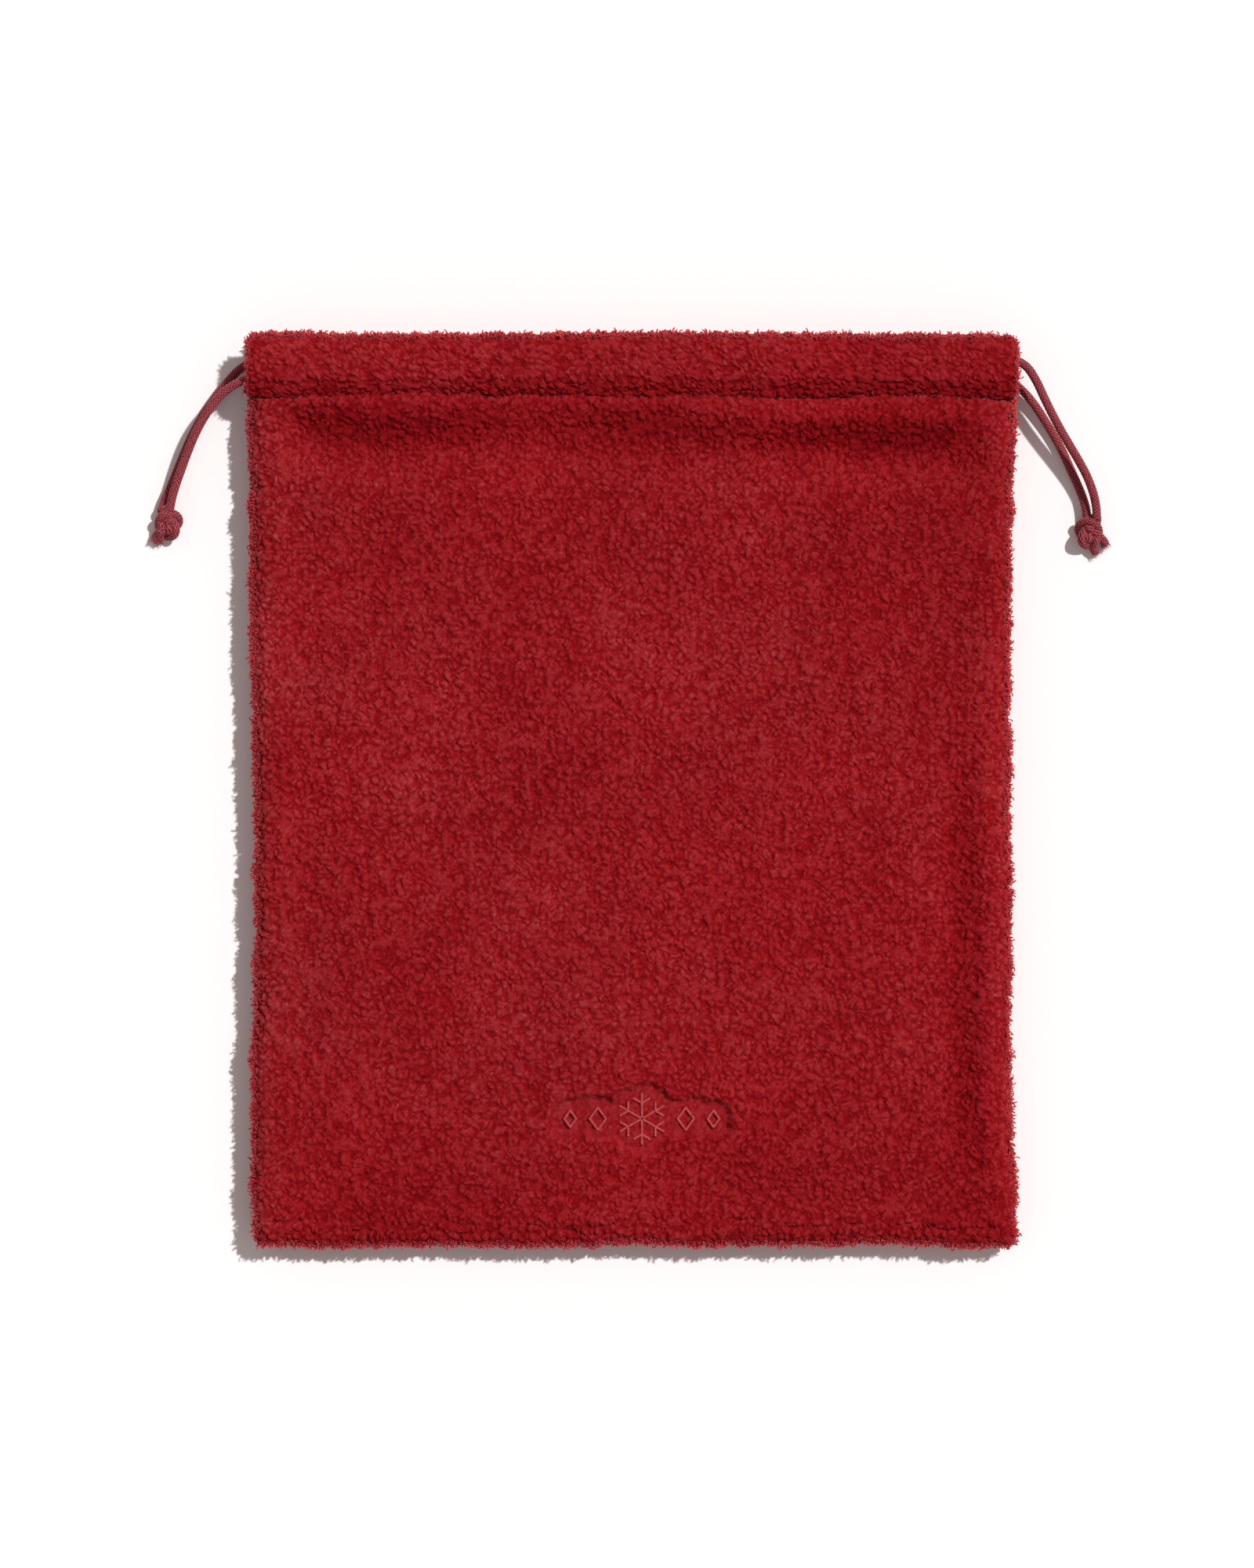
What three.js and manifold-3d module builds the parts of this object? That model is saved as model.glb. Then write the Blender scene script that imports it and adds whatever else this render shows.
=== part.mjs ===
// Fabric gift sack: a flat drawstring bag of thick curly pile cloth, lying on its back with its mouth towards +Y.
//
// Millimetres, +Z up. The origin is the middle of the face that it rests on: X runs across the sack, Y from the
// bottom seam to the mouth. Two panels are sewn together at the sides and the bottom with their seam turned inside.
// The top of each panel is folded in and stitched down as a casing, and two drawcords run right round through both
// casings. Each cord leaves by the slit at its own end, where its two strands are knotted together.

import * as THREE from "three";
import { mergeVertices } from "three/addons/utils/BufferGeometryUtils.js";
import Module from "manifold-3d";

const wasm = await Module();
wasm.setup();

// ---------------------------------------------------------------- driving dimensions

const SACK_WIDTH = 300;
const SACK_HEIGHT = 360;
const CLOTH = 5.2; // the pile cloth where it lies free, backing and pile
const CASING_OUTER = 3.4; // the same cloth pressed a little, on the outside of a casing
const CASING_INNER = 1.8; // the turned-in layer, pressed by the layer that it faces
const MOUTH_GAP = 4.6; // the space between the two casings
const CASING_HEIGHT = 23.6; // from the casing's stitching to the top fold
const STITCH_LAND = 1.6; // cloth between the stitching and the tunnel

const CORD_DIAMETER = 3.6;
const CORD_PLAY = 0.2; // clearance above and below a cord in its tunnel
const CORD_PITCH = 8.0; // between the two cords in one tunnel
const CORD_SIDES = 8;
const CORD_STEPS = 84;
const TURN_RADIUS = 7.2; // where a cord turns from the front casing into the back one
const TURN_INSET = 1.2; // from the far end of a turn to the side of the sack
const SLIT_DEPTH = 15; // how far the turned-in layers are cut back at each cord slit

const SEAM_WIDTH = 10.4; // the seam allowance, turned inside
const SEAM_INSET = 1.6; // from the sack's edge to the seam
const THREAD = 0.8;
const OVERLOCK = 1.0;
const BARTACK_LENGTH = 2.0;
const FIT = 0.3; // the gap kept between neighbours

const KNOT_HALF = { across: 6.8, along: 5.6, height: 5.2 };
const KNOT_ENTRY = 5.2; // from a knot's middle to the ends of the strands that enter it
const ENTRY_SLANT = 0.3; // how far a strand leans as it enters, so its end's rim reaches past its middle
const TAIL_FACE = 4.4; // and to the flat that its cut ends leave
const TAIL_LENGTH = 6.0;
const TAIL_GAP = 0.6; // between a knot's two cut ends

const MARK_OFFSET = 4; // from the sack's middle line to the middle of the mark
const MARK_HEIGHT = 49; // from the bottom of the sack to the middle of the mark
const MARK_POCKET = { width: 78, height: 32, depth: 2.8 };
const MARK_STROKE = 1.1;
const MARK_THICK = 0.8;
const SNOWFLAKE_RADIUS = 10.5;
const LOZENGE_HALF_HEIGHT = 5.2;
const LOZENGE_HALF_WIDTH = 4.0;
const LOZENGE_OFFSETS = [17.5, 28.5]; // from the middle of the mark, on each side
const LOZENGE_SHRINK = 0.78; // each lozenge against the one before it
const BACKING = { width: 84, height: 36, thick: 0.5 };

// ---------------------------------------------------------------- sizes that follow

const halfWidth = SACK_WIDTH / 2;
const top = SACK_HEIGHT / 2;
const bottom = -SACK_HEIGHT / 2;
const cordRadius = CORD_DIAMETER / 2;
const knotFace = KNOT_ENTRY - ENTRY_SLANT * cordRadius;
const tunnelGap = CORD_DIAMETER + 2 * CORD_PLAY;
const casingThick = CASING_OUTER + tunnelGap + CASING_INNER;
const mouthTop = casingThick + MOUTH_GAP;
const crest = 2 * casingThick + MOUTH_GAP;
const bodyTop = mouthTop + CLOTH;
const markCentre = { x: MARK_OFFSET, y: bottom + MARK_HEIGHT };
const stitchY = top - CASING_HEIGHT;
const tunnelStart = stitchY + STITCH_LAND;
const tunnelEnd = top - CASING_OUTER;
const runY = (tunnelStart + tunnelEnd) / 2;
const backRunZ = CASING_OUTER + tunnelGap / 2;
const frontRunZ = crest - backRunZ;
const seamLow = CLOTH + FIT;
const seamThick = mouthTop - CLOTH - 2 * FIT;
const seamTopY = stitchY - 8;

// ---------------------------------------------------------------- geometry helpers

// A section drawn in Y and Z becomes a bar along X.
const ACROSS = new THREE.Matrix4().makeBasis(
  new THREE.Vector3(0, 1, 0),
  new THREE.Vector3(0, 0, 1),
  new THREE.Vector3(1, 0, 0),
);

function solidOf(geometry) {
  const bare = (geometry.index ? geometry.toNonIndexed() : geometry).clone();
  bare.deleteAttribute("normal");
  bare.deleteAttribute("uv");
  const merged = mergeVertices(bare, 1e-3);
  return new wasm.Manifold(
    new wasm.Mesh({
      numProp: 3,
      vertProperties: new Float32Array(merged.attributes.position.array),
      triVerts: new Uint32Array(merged.index.array),
    }),
  );
}

function geometryOf(solid) {
  const mesh = solid.getMesh();
  const geometry = new THREE.BufferGeometry();
  geometry.setAttribute("position", new THREE.BufferAttribute(mesh.vertProperties, 3));
  geometry.setIndex(new THREE.BufferAttribute(mesh.triVerts, 1));
  geometry.computeVertexNormals();
  return geometry;
}

function cut(geometry, ...tools) {
  return geometryOf(tools.reduce((solid, tool) => solid.subtract(solidOf(tool)), solidOf(geometry)));
}

function block(low, high) {
  const size = high.map((value, axis) => value - low[axis]);
  const middle = high.map((value, axis) => (value + low[axis]) / 2);
  return new THREE.BoxGeometry(...size).translate(...middle);
}

function roundedSlot(path, fromY, toY, fromZ, toZ) {
  const radius = (toZ - fromZ) / 2;
  const middle = (fromZ + toZ) / 2;
  path.absarc(toY - radius, middle, radius, -Math.PI / 2, Math.PI / 2, false);
  path.absarc(fromY + radius, middle, radius, Math.PI / 2, 1.5 * Math.PI, false);
  path.closePath();
  return path;
}

// ---------------------------------------------------------------- cloth

// The back panel's section: flat on the ground, folded over at the mouth, with the tunnel as a hole.
function backSection() {
  const foot = CLOTH / 2;
  const fold = casingThick / 2;
  const shape = new THREE.Shape();
  shape.moveTo(bottom + foot, 0);
  shape.lineTo(stitchY - STITCH_LAND, 0);
  shape.lineTo(stitchY - THREAD, 2 * THREAD);
  shape.lineTo(stitchY + THREAD, 2 * THREAD);
  shape.lineTo(stitchY + STITCH_LAND, 0);
  shape.absarc(top - fold, fold, fold, -Math.PI / 2, Math.PI / 2, false);
  shape.lineTo(stitchY, casingThick);
  shape.lineTo(stitchY - STITCH_LAND, CLOTH);
  shape.absarc(bottom + foot, foot, foot, Math.PI / 2, 1.5 * Math.PI, false);
  shape.holes.push(roundedSlot(new THREE.Path(), tunnelStart, tunnelEnd, CASING_OUTER, CASING_OUTER + tunnelGap));
  return shape;
}

// The front panel's section: flat underneath, so that the sack is open straight through its mouth.
function frontSection() {
  const foot = CLOTH / 2;
  const fold = casingThick / 2;
  const groove = bodyTop - 2 * THREAD;
  const shape = new THREE.Shape();
  shape.absarc(bottom + foot, mouthTop + foot, foot, Math.PI / 2, 1.5 * Math.PI, false);
  shape.absarc(top - fold, mouthTop + fold, fold, -Math.PI / 2, Math.PI / 2, false);
  shape.lineTo(stitchY + STITCH_LAND + THREAD, crest);
  shape.lineTo(stitchY + THREAD, groove);
  shape.lineTo(stitchY - THREAD, groove);
  shape.lineTo(stitchY - STITCH_LAND, bodyTop);
  shape.holes.push(
    roundedSlot(new THREE.Path(), tunnelStart, tunnelEnd, mouthTop + CASING_INNER, mouthTop + CASING_INNER + tunnelGap),
  );
  return shape;
}

function panel(section) {
  const bar = new THREE.ExtrudeGeometry(section, { depth: SACK_WIDTH, bevelEnabled: false, curveSegments: 8 });
  return bar.applyMatrix4(ACROSS).translate(-halfWidth, 0, 0);
}

// At both ends of a casing the turned-in layer stops short, so that a cord can pass from one casing to the other.
function slitCuts(lowZ, highZ) {
  const start = halfWidth - SLIT_DEPTH;
  return [-1, 1].map((side) => {
    const ends = [side * start, side * (halfWidth + 1)].sort((a, b) => a - b);
    return block([ends[0], tunnelStart, lowZ], [ends[1], tunnelEnd, highZ]);
  });
}

// The pile is pressed down round the embroidery.
function markPocket() {
  const { width, height, depth } = MARK_POCKET;
  const shape = roundedSlot(new THREE.Shape(), -width / 2, width / 2, -height / 2, height / 2);
  return new THREE.ExtrudeGeometry(shape, { depth: depth + 1, bevelEnabled: false, curveSegments: 10 }).translate(
    markCentre.x,
    markCentre.y,
    bodyTop - depth,
  );
}

function frontPanel() {
  return cut(panel(frontSection()), ...slitCuts(mouthTop - 1, frontRunZ), markPocket());
}

function backPanel() {
  return cut(panel(backSection()), ...slitCuts(backRunZ, casingThick + 1));
}

// ---------------------------------------------------------------- seams and stitching

function casingThread(z) {
  const reach = halfWidth - SEAM_INSET;
  return block([-reach, stitchY - THREAD / 2, z], [reach, stitchY + THREAD / 2, z + THREAD]);
}

// One side's seam, with positions given from the sack's edge inwards.
function sideBlock(side, fromEdge, width, fromY, toY, lowZ, highZ) {
  const ends = [side * (halfWidth - fromEdge), side * (halfWidth - fromEdge - width)].sort((a, b) => a - b);
  return block([ends[0], fromY, lowZ], [ends[1], toY, highZ]);
}

const seamMiddle = (CLOTH + mouthTop) / 2;
const sideSeam = (side) =>
  sideBlock(side, SEAM_INSET, SEAM_WIDTH, bottom + SEAM_INSET, seamTopY, seamLow, seamLow + seamThick);
const sideThread = (side) =>
  sideBlock(side, SEAM_INSET - FIT - THREAD, THREAD, bottom + SEAM_INSET, seamTopY, seamMiddle - THREAD / 2, seamMiddle + THREAD / 2);
const sideOverlock = (side) =>
  sideBlock(side, SEAM_INSET + SEAM_WIDTH + FIT, OVERLOCK, bottom + SEAM_INSET, seamTopY, seamLow + FIT, seamLow + seamThick - FIT);
const bartack = (side) =>
  sideBlock(side, THREAD, SEAM_WIDTH, seamTopY + FIT, seamTopY + FIT + BARTACK_LENGTH, seamLow, seamLow + seamThick);

// The bottom seam stops short of the side seams by its own thickness, so that the corners can lift.
const bottomReach = halfWidth - SEAM_INSET - SEAM_WIDTH - seamThick;
const bottomSeam = () =>
  block(
    [-bottomReach, bottom + SEAM_INSET, seamLow],
    [bottomReach, bottom + SEAM_INSET + SEAM_WIDTH, seamLow + seamThick],
  );
const bottomThread = () =>
  block(
    [-bottomReach, bottom + SEAM_INSET - FIT - THREAD, seamMiddle - THREAD / 2],
    [bottomReach, bottom + SEAM_INSET - FIT, seamMiddle + THREAD / 2],
  );
const bottomOverlock = () => {
  const start = bottom + SEAM_INSET + SEAM_WIDTH + FIT;
  return block(
    [-bottomReach, start, seamLow + FIT],
    [bottomReach, start + OVERLOCK, seamLow + seamThick - FIT],
  );
};

// ---------------------------------------------------------------- embroidered mark

const markFloor = bodyTop - MARK_POCKET.depth + FIT;

function strokeBar(length, angle, x, y) {
  return new THREE.BoxGeometry(length, MARK_STROKE, MARK_THICK)
    .rotateZ(angle)
    .translate(x + markCentre.x, y + markCentre.y, markFloor + MARK_THICK / 2);
}

// Three crossed strokes, with a pair of short branches near each of the six tips.
function snowflake() {
  const bars = [];
  const branch = SNOWFLAKE_RADIUS * 0.36;
  const at = SNOWFLAKE_RADIUS * 0.62;
  for (let arm = 0; arm < 6; arm += 1) {
    const angle = (arm * Math.PI) / 3 + Math.PI / 6;
    if (arm < 3) bars.push(strokeBar(2 * SNOWFLAKE_RADIUS, angle, 0, 0));
    for (const turn of [-Math.PI / 3, Math.PI / 3]) {
      const reach = branch / 2;
      bars.push(
        strokeBar(
          branch,
          angle + turn,
          at * Math.cos(angle) + reach * Math.cos(angle + turn),
          at * Math.sin(angle) + reach * Math.sin(angle + turn),
        ),
      );
    }
  }
  return geometryOf(bars.slice(1).reduce((solid, bar) => solid.add(solidOf(bar)), solidOf(bars[0])));
}

function lozenge(offset, scale) {
  const outline = (path, inset) => {
    const tall = LOZENGE_HALF_HEIGHT * scale - inset;
    const wide = LOZENGE_HALF_WIDTH * scale - inset;
    path.moveTo(wide, 0);
    path.lineTo(0, tall);
    path.lineTo(-wide, 0);
    path.lineTo(0, -tall);
    path.closePath();
    return path;
  };
  const shape = outline(new THREE.Shape(), 0);
  shape.holes.push(outline(new THREE.Path(), 1.4 * MARK_STROKE));
  return new THREE.ExtrudeGeometry(shape, { depth: MARK_THICK, bevelEnabled: false }).translate(
    markCentre.x + offset,
    markCentre.y,
    markFloor,
  );
}

function markBacking() {
  const { width, height, thick } = BACKING;
  const high = mouthTop - FIT;
  return block(
    [markCentre.x - width / 2, markCentre.y - height / 2, high - thick],
    [markCentre.x + width / 2, markCentre.y + height / 2, high],
  );
}

// ---------------------------------------------------------------- drawcords

// Each free strand from just outside its slit to its knot: outwards from the sack's edge, along Y from the middle of
// the casing, and up from the ground.
const FREE_STRANDS = {
  right: {
    front: [
      [3.0, 3.4, 17.3], [7.2, 0.9, 16.8], [11.0, -4.4, 15.8], [14.4, -11.2, 14.6], [17.9, -18.0, 13.4],
      [21.4, -24.2, 12.2], [25.0, -30.1, 11.1], [28.6, -36.0, 10.1], [32.0, -42.2, 9.2], [34.7, -49.2, 8.3],
      [35.9, -55.0, 7.6], [36.1, -59.2, 7.2],
    ],
    back: [
      [3.4, -5.0, 5.3], [7.4, -8.4, 4.7], [11.6, -13.3, 3.9], [15.6, -19.2, 3.1], [19.2, -25.0, 2.6],
      [22.7, -31.4, 2.4], [25.9, -38.4, 2.4], [28.6, -44.4, 2.6], [30.8, -50.0, 3.1], [32.2, -55.0, 3.7],
      [32.6, -59.2, 4.0],
    ],
    knot: [34.3, -64.4, 5.4],
    tails: -Math.PI / 4,
  },
  left: {
    front: [
      [3.2, -4.2, 17.3], [7.6, -5.9, 16.6], [12.4, -9.2, 15.5], [17.0, -14.0, 14.3], [21.0, -19.6, 13.1],
      [24.4, -25.8, 11.9], [27.2, -32.2, 10.8], [29.7, -38.6, 9.8], [32.0, -44.8, 8.9], [33.9, -50.8, 8.0],
      [34.9, -55.6, 7.3],
    ],
    back: [
      [3.0, 3.5, 5.3], [7.4, 0.8, 4.7], [12.4, -4.4, 3.9], [17.8, -11.2, 3.1], [22.8, -18.6, 2.6],
      [26.8, -26.0, 2.4], [29.9, -33.2, 2.4], [32.6, -39.9, 2.6], [35.0, -46.0, 3.1], [37.2, -51.4, 3.7],
      [38.4, -55.6, 4.0],
    ],
    knot: [36.7, -61.0, 5.4],
    tails: (-2 * Math.PI) / 3,
  },
};

const SIDES = { left: -1, right: 1 };

const placed = (side, [out, along, up]) => new THREE.Vector3(side * (halfWidth + out), runY + along, up);

// A drawcord runs from its knot into the front casing, turns into the back casing at the far slit, and comes back.
function drawcordCurve(name) {
  const side = SIDES[name];
  const { front, back } = FREE_STRANDS[name];
  const lean = Math.sign(side) * (CORD_PITCH / 2);
  const frontY = runY + lean;
  const backY = runY - lean;
  const middle = new THREE.Vector3(0, (frontY + backY) / 2, (frontRunZ + backRunZ) / 2);
  const half = new THREE.Vector3(0, (frontY - backY) / 2, (frontRunZ - backRunZ) / 2);
  const turnX = -side * (halfWidth - TURN_INSET - TURN_RADIUS - cordRadius);
  const runStops = [0.9, 0.7, 0.4, 0.1, -0.2, -0.5, -0.8, -0.97];
  const points = [...front].reverse().map((point) => placed(side, point));
  for (const out of [FIT, -CORD_DIAMETER]) points.push(new THREE.Vector3(side * (halfWidth + out), frontY, frontRunZ));
  for (const share of runStops) points.push(new THREE.Vector3(-turnX * share, frontY, frontRunZ));
  for (let step = 1; step <= 5; step += 1) {
    const angle = (step * Math.PI) / 6;
    points.push(
      new THREE.Vector3(turnX - side * TURN_RADIUS * Math.sin(angle), 0, 0)
        .add(middle)
        .addScaledVector(half, Math.cos(angle)),
    );
  }
  for (const share of [...runStops].reverse()) points.push(new THREE.Vector3(-turnX * share, backY, backRunZ));
  for (const out of [-CORD_DIAMETER, FIT]) points.push(new THREE.Vector3(side * (halfWidth + out), backY, backRunZ));
  points.push(...back.map((point) => placed(side, point)));
  return new THREE.CatmullRomCurve3(points, false, "centripetal");
}

function cordSection() {
  const corners = [];
  for (let corner = 0; corner < CORD_SIDES; corner += 1) {
    const angle = (2 * Math.PI * corner) / CORD_SIDES;
    corners.push(new THREE.Vector2(cordRadius * Math.cos(angle), cordRadius * Math.sin(angle)));
  }
  return new THREE.Shape(corners);
}

const drawcord = (name) =>
  new THREE.ExtrudeGeometry(cordSection(), { steps: CORD_STEPS, extrudePath: drawcordCurve(name) });

// A knot is a round lump with a flat where the strands go in and another where the cut ends come out.
function knot(name) {
  const { knot: centre, tails } = FREE_STRANDS[name];
  const middle = placed(SIDES[name], centre);
  const reach = 4 * KNOT_HALF.across;
  const lump = new THREE.SphereGeometry(1, 20, 12)
    .rotateX(Math.PI / 2)
    .scale(KNOT_HALF.across, KNOT_HALF.along, KNOT_HALF.height);
  const inFlat = new THREE.BoxGeometry(reach, reach, reach).translate(0, knotFace + reach / 2, 0);
  const outFlat = new THREE.BoxGeometry(reach, reach, reach).translate(TAIL_FACE + reach / 2, 0, 0).rotateZ(tails);
  return cut(lump, inFlat, outFlat).translate(middle.x, middle.y, middle.z);
}

function tail(name, place) {
  const { knot: centre, tails } = FREE_STRANDS[name];
  const middle = placed(SIDES[name], centre);
  return new THREE.CylinderGeometry(cordRadius, cordRadius, TAIL_LENGTH, CORD_SIDES)
    .rotateZ(-Math.PI / 2)
    .translate(TAIL_FACE + FIT + TAIL_LENGTH / 2, (place * (CORD_DIAMETER + TAIL_GAP)) / 2, 0)
    .rotateZ(tails)
    .translate(middle.x, middle.y, middle.z);
}

// ---------------------------------------------------------------- assembly

const pileRed = new THREE.MeshStandardMaterial({ color: 0x8e1c22, roughness: 0.95, metalness: 0 });
const seamRed = new THREE.MeshStandardMaterial({ color: 0x7c181e, roughness: 0.9, metalness: 0 });
const threadRed = new THREE.MeshStandardMaterial({ color: 0x9a2026, roughness: 0.7, metalness: 0 });
const markRed = new THREE.MeshStandardMaterial({ color: 0xc23c42, roughness: 0.5, metalness: 0 });
const cordRed = new THREE.MeshStandardMaterial({ color: 0x7e2a32, roughness: 0.65, metalness: 0 });
const backingRed = new THREE.MeshStandardMaterial({ color: 0xb9a6a2, roughness: 0.9, metalness: 0 });

const sack = new THREE.Group();

function add(name, geometry, material) {
  const mesh = new THREE.Mesh(geometry, material);
  mesh.name = name;
  sack.add(mesh);
}

add("front_panel", frontPanel(), pileRed);
add("back_panel", backPanel(), pileRed);
add("front_casing_stitching", casingThread(bodyTop - 2 * THREAD + FIT), threadRed);
add("back_casing_stitching", casingThread(2 * THREAD - FIT - THREAD), threadRed);
add("bottom_seam", bottomSeam(), seamRed);
add("bottom_seam_stitching", bottomThread(), threadRed);
add("bottom_overlock", bottomOverlock(), threadRed);

for (const [name, side] of Object.entries(SIDES)) {
  add(`${name}_side_seam`, sideSeam(side), seamRed);
  add(`${name}_seam_stitching`, sideThread(side), threadRed);
  add(`${name}_overlock`, sideOverlock(side), threadRed);
  add(`${name}_slit_bartack`, bartack(side), threadRed);
  add(`${name}_drawcord`, drawcord(name), cordRed);
  add(`${name}_knot`, knot(name), cordRed);
  add(`${name}_cut_end_1`, tail(name, -1), cordRed);
  add(`${name}_cut_end_2`, tail(name, 1), cordRed);
}

add("embroidery_backing", markBacking(), backingRed);
add("embroidery_snowflake", snowflake(), markRed);
LOZENGE_OFFSETS.forEach((offset, index) => {
  for (const [name, side] of Object.entries(SIDES)) {
    add(`embroidery_lozenge_${name}_${index + 1}`, lozenge(side * offset, LOZENGE_SHRINK ** index), markRed);
  }
});

export default sack;
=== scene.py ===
"""Looks of the fabric gift sack: curly pile cloth, stitched casings, braided drawcords and a sunk embroidered mark.

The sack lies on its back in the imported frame, +Y towards its mouth and +Z up. Shapes are worked out in millimetres
and turned into metres as each mesh is made.
"""

import math

import bpy
import numpy as np
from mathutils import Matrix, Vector


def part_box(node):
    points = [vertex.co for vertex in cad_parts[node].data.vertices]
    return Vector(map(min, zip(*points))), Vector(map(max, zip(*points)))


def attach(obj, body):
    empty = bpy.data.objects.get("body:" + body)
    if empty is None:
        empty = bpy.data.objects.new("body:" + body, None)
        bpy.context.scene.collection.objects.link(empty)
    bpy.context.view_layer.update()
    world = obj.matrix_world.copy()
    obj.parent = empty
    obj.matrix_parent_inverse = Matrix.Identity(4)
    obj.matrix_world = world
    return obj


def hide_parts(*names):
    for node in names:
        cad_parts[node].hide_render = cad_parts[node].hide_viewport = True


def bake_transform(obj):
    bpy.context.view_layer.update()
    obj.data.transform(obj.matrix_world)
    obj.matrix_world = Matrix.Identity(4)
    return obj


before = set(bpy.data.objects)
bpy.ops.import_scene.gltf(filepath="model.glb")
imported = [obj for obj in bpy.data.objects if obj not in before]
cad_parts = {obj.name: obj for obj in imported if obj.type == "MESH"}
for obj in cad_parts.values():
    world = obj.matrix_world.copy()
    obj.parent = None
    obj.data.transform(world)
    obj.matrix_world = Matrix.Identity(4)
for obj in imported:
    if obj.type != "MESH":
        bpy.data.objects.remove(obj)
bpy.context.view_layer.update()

MM = 0.001


def box_mm(node):
    """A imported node's lowest and highest corners, in millimetres."""
    return [np.array(corner, float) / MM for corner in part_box(node)]


FRONT_LOW, FRONT_HIGH = box_mm("front_panel")
HALF_WIDTH = FRONT_HIGH[0]
TOP = FRONT_HIGH[1]
BOTTOM = FRONT_LOW[1]
CREST = FRONT_HIGH[2]
MOUTH_HIGH = FRONT_LOW[2]
STITCH_LOW, STITCH_HIGH = box_mm("front_casing_stitching")
STITCH_Y = (STITCH_LOW[1] + STITCH_HIGH[1]) / 2
MARK_LOW, MARK_HIGH = box_mm("embroidery_snowflake")
MARK_X, MARK_Y = (MARK_LOW[:2] + MARK_HIGH[:2]) / 2

# ---------------------------------------------------------------- camera, light and table

CAMERA_HEIGHT = 1.8
PICTURE_HEIGHT = 0.6218
PICTURE_CENTRE = (-0.0019, 0.0022)
SENSOR = 36.0


def add_camera():
    data = bpy.data.cameras.new("camera")
    data.sensor_fit = "VERTICAL"
    data.sensor_height = SENSOR
    data.lens = SENSOR * (CAMERA_HEIGHT - FRONT_HIGH[2] * MM) / PICTURE_HEIGHT
    data.clip_start = 0.01
    camera = bpy.data.objects.new("camera", data)
    camera.location = (*PICTURE_CENTRE, CAMERA_HEIGHT)
    bpy.context.scene.collection.objects.link(camera)
    bpy.context.scene.camera = camera


add_camera()

SUN_FROM = (0.49, 0.38, 0.80)
SUN_POWER = 3.1
SUN_COLOUR = (1.0, 0.995, 0.99)
SUN_WIDTH = math.radians(2.6)
SKY_POWER = 0.36
SKY_COLOUR = (1.0, 0.88, 0.86, 1.0)


def add_light():
    scene = bpy.context.scene
    scene.view_settings.view_transform = "Standard"
    scene.view_settings.look = "None"
    data = bpy.data.lights.new("key", "SUN")
    data.energy = SUN_POWER
    data.angle = SUN_WIDTH
    data.color = SUN_COLOUR
    key = bpy.data.objects.new("key", data)
    key.rotation_euler = Vector(SUN_FROM).to_track_quat("Z", "Y").to_euler()
    scene.collection.objects.link(key)
    world = bpy.data.worlds.new("studio")
    world.use_nodes = True
    sky = world.node_tree.nodes["Background"]
    sky.inputs["Color"].default_value = SKY_COLOUR
    sky.inputs["Strength"].default_value = SKY_POWER
    scene.world = world


add_light()


def add_table():
    reach = 6.0
    mesh = bpy.data.meshes.new("table")
    corners = [(-reach, -reach, 0), (reach, -reach, 0), (reach, reach, 0), (-reach, reach, 0)]
    mesh.from_pydata(corners, [], [(0, 1, 2, 3)])
    table = bpy.data.objects.new("table", mesh)
    bpy.context.scene.collection.objects.link(table)
    finish = bpy.data.materials.new("table")
    finish.use_nodes = True
    shader = finish.node_tree.nodes["Principled BSDF"]
    shader.inputs["Base Color"].default_value = (0.94, 0.94, 0.94, 1.0)
    shader.inputs["Roughness"].default_value = 0.9
    shader.inputs["Specular IOR Level"].default_value = 0.1
    mesh.materials.append(finish)


add_table()

# ---------------------------------------------------------------- noise that a shape can read


def cell_value(cell, salt):
    """One fixed number from 0 to 1 for each cell of an endless grid."""
    key = cell[..., 0] * 73856093 ^ cell[..., 1] * 19349663 ^ cell[..., 2] * 83492791 ^ (salt * 40503 + 977)
    key = (key ^ (key >> 13)) * 1274126177
    key = (key ^ (key >> 16)) * 668265263
    return ((key >> 8) & 0xFFFFFF) / float(0xFFFFFF)


def eased(t):
    t = np.clip(t, 0.0, 1.0)
    return t * t * (3.0 - 2.0 * t)


def soft_noise(points, size, salt):
    """Smooth noise from -1 to 1, whose lumps are about size across."""
    scaled = np.asarray(points, float) / size
    cell = np.floor(scaled).astype(np.int64)
    part = eased(scaled - cell)
    total = 0.0
    for corner in range(8):
        step = np.array([corner & 1, (corner >> 1) & 1, corner >> 2])
        weight = np.prod(np.where(step, part, 1.0 - part), axis=-1)
        total = total + weight * cell_value(cell + step, salt)
    return 2.0 * total - 1.0


def on_plane(x, y):
    """Points at no height, for noise that is the same above and below."""
    return np.stack([x, y, np.zeros_like(x)], axis=-1)


def swirl(points, size, reach, salt):
    return reach * np.stack([soft_noise(points, size, salt + axis) for axis in range(3)], axis=-1)


def two_nearest(points, pitch, salt):
    """How far each point is from the nearest and the second nearest curl, in pitches."""
    scaled = points / pitch
    cell = np.floor(scaled).astype(np.int64)
    first = np.full(scaled.shape[:-1], 9.0)
    second = first.copy()
    for index in range(27):
        step = np.array([index % 3, (index // 3) % 3, index // 9]) - 1
        there = cell + step
        shift = np.stack([2.0 * cell_value(there, salt + axis) - 1.0 for axis in range(3)], axis=-1)
        centre = there + 0.5 + 0.42 * shift
        far = np.linalg.norm(scaled - centre, axis=-1)
        second = np.minimum(second, np.maximum(first, far))
        first = np.minimum(first, far)
    return first, second


CURL_PITCH = 3.0
CURL_HEIGHT = 2.7
CURL_MIDDLE = 0.45


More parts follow.
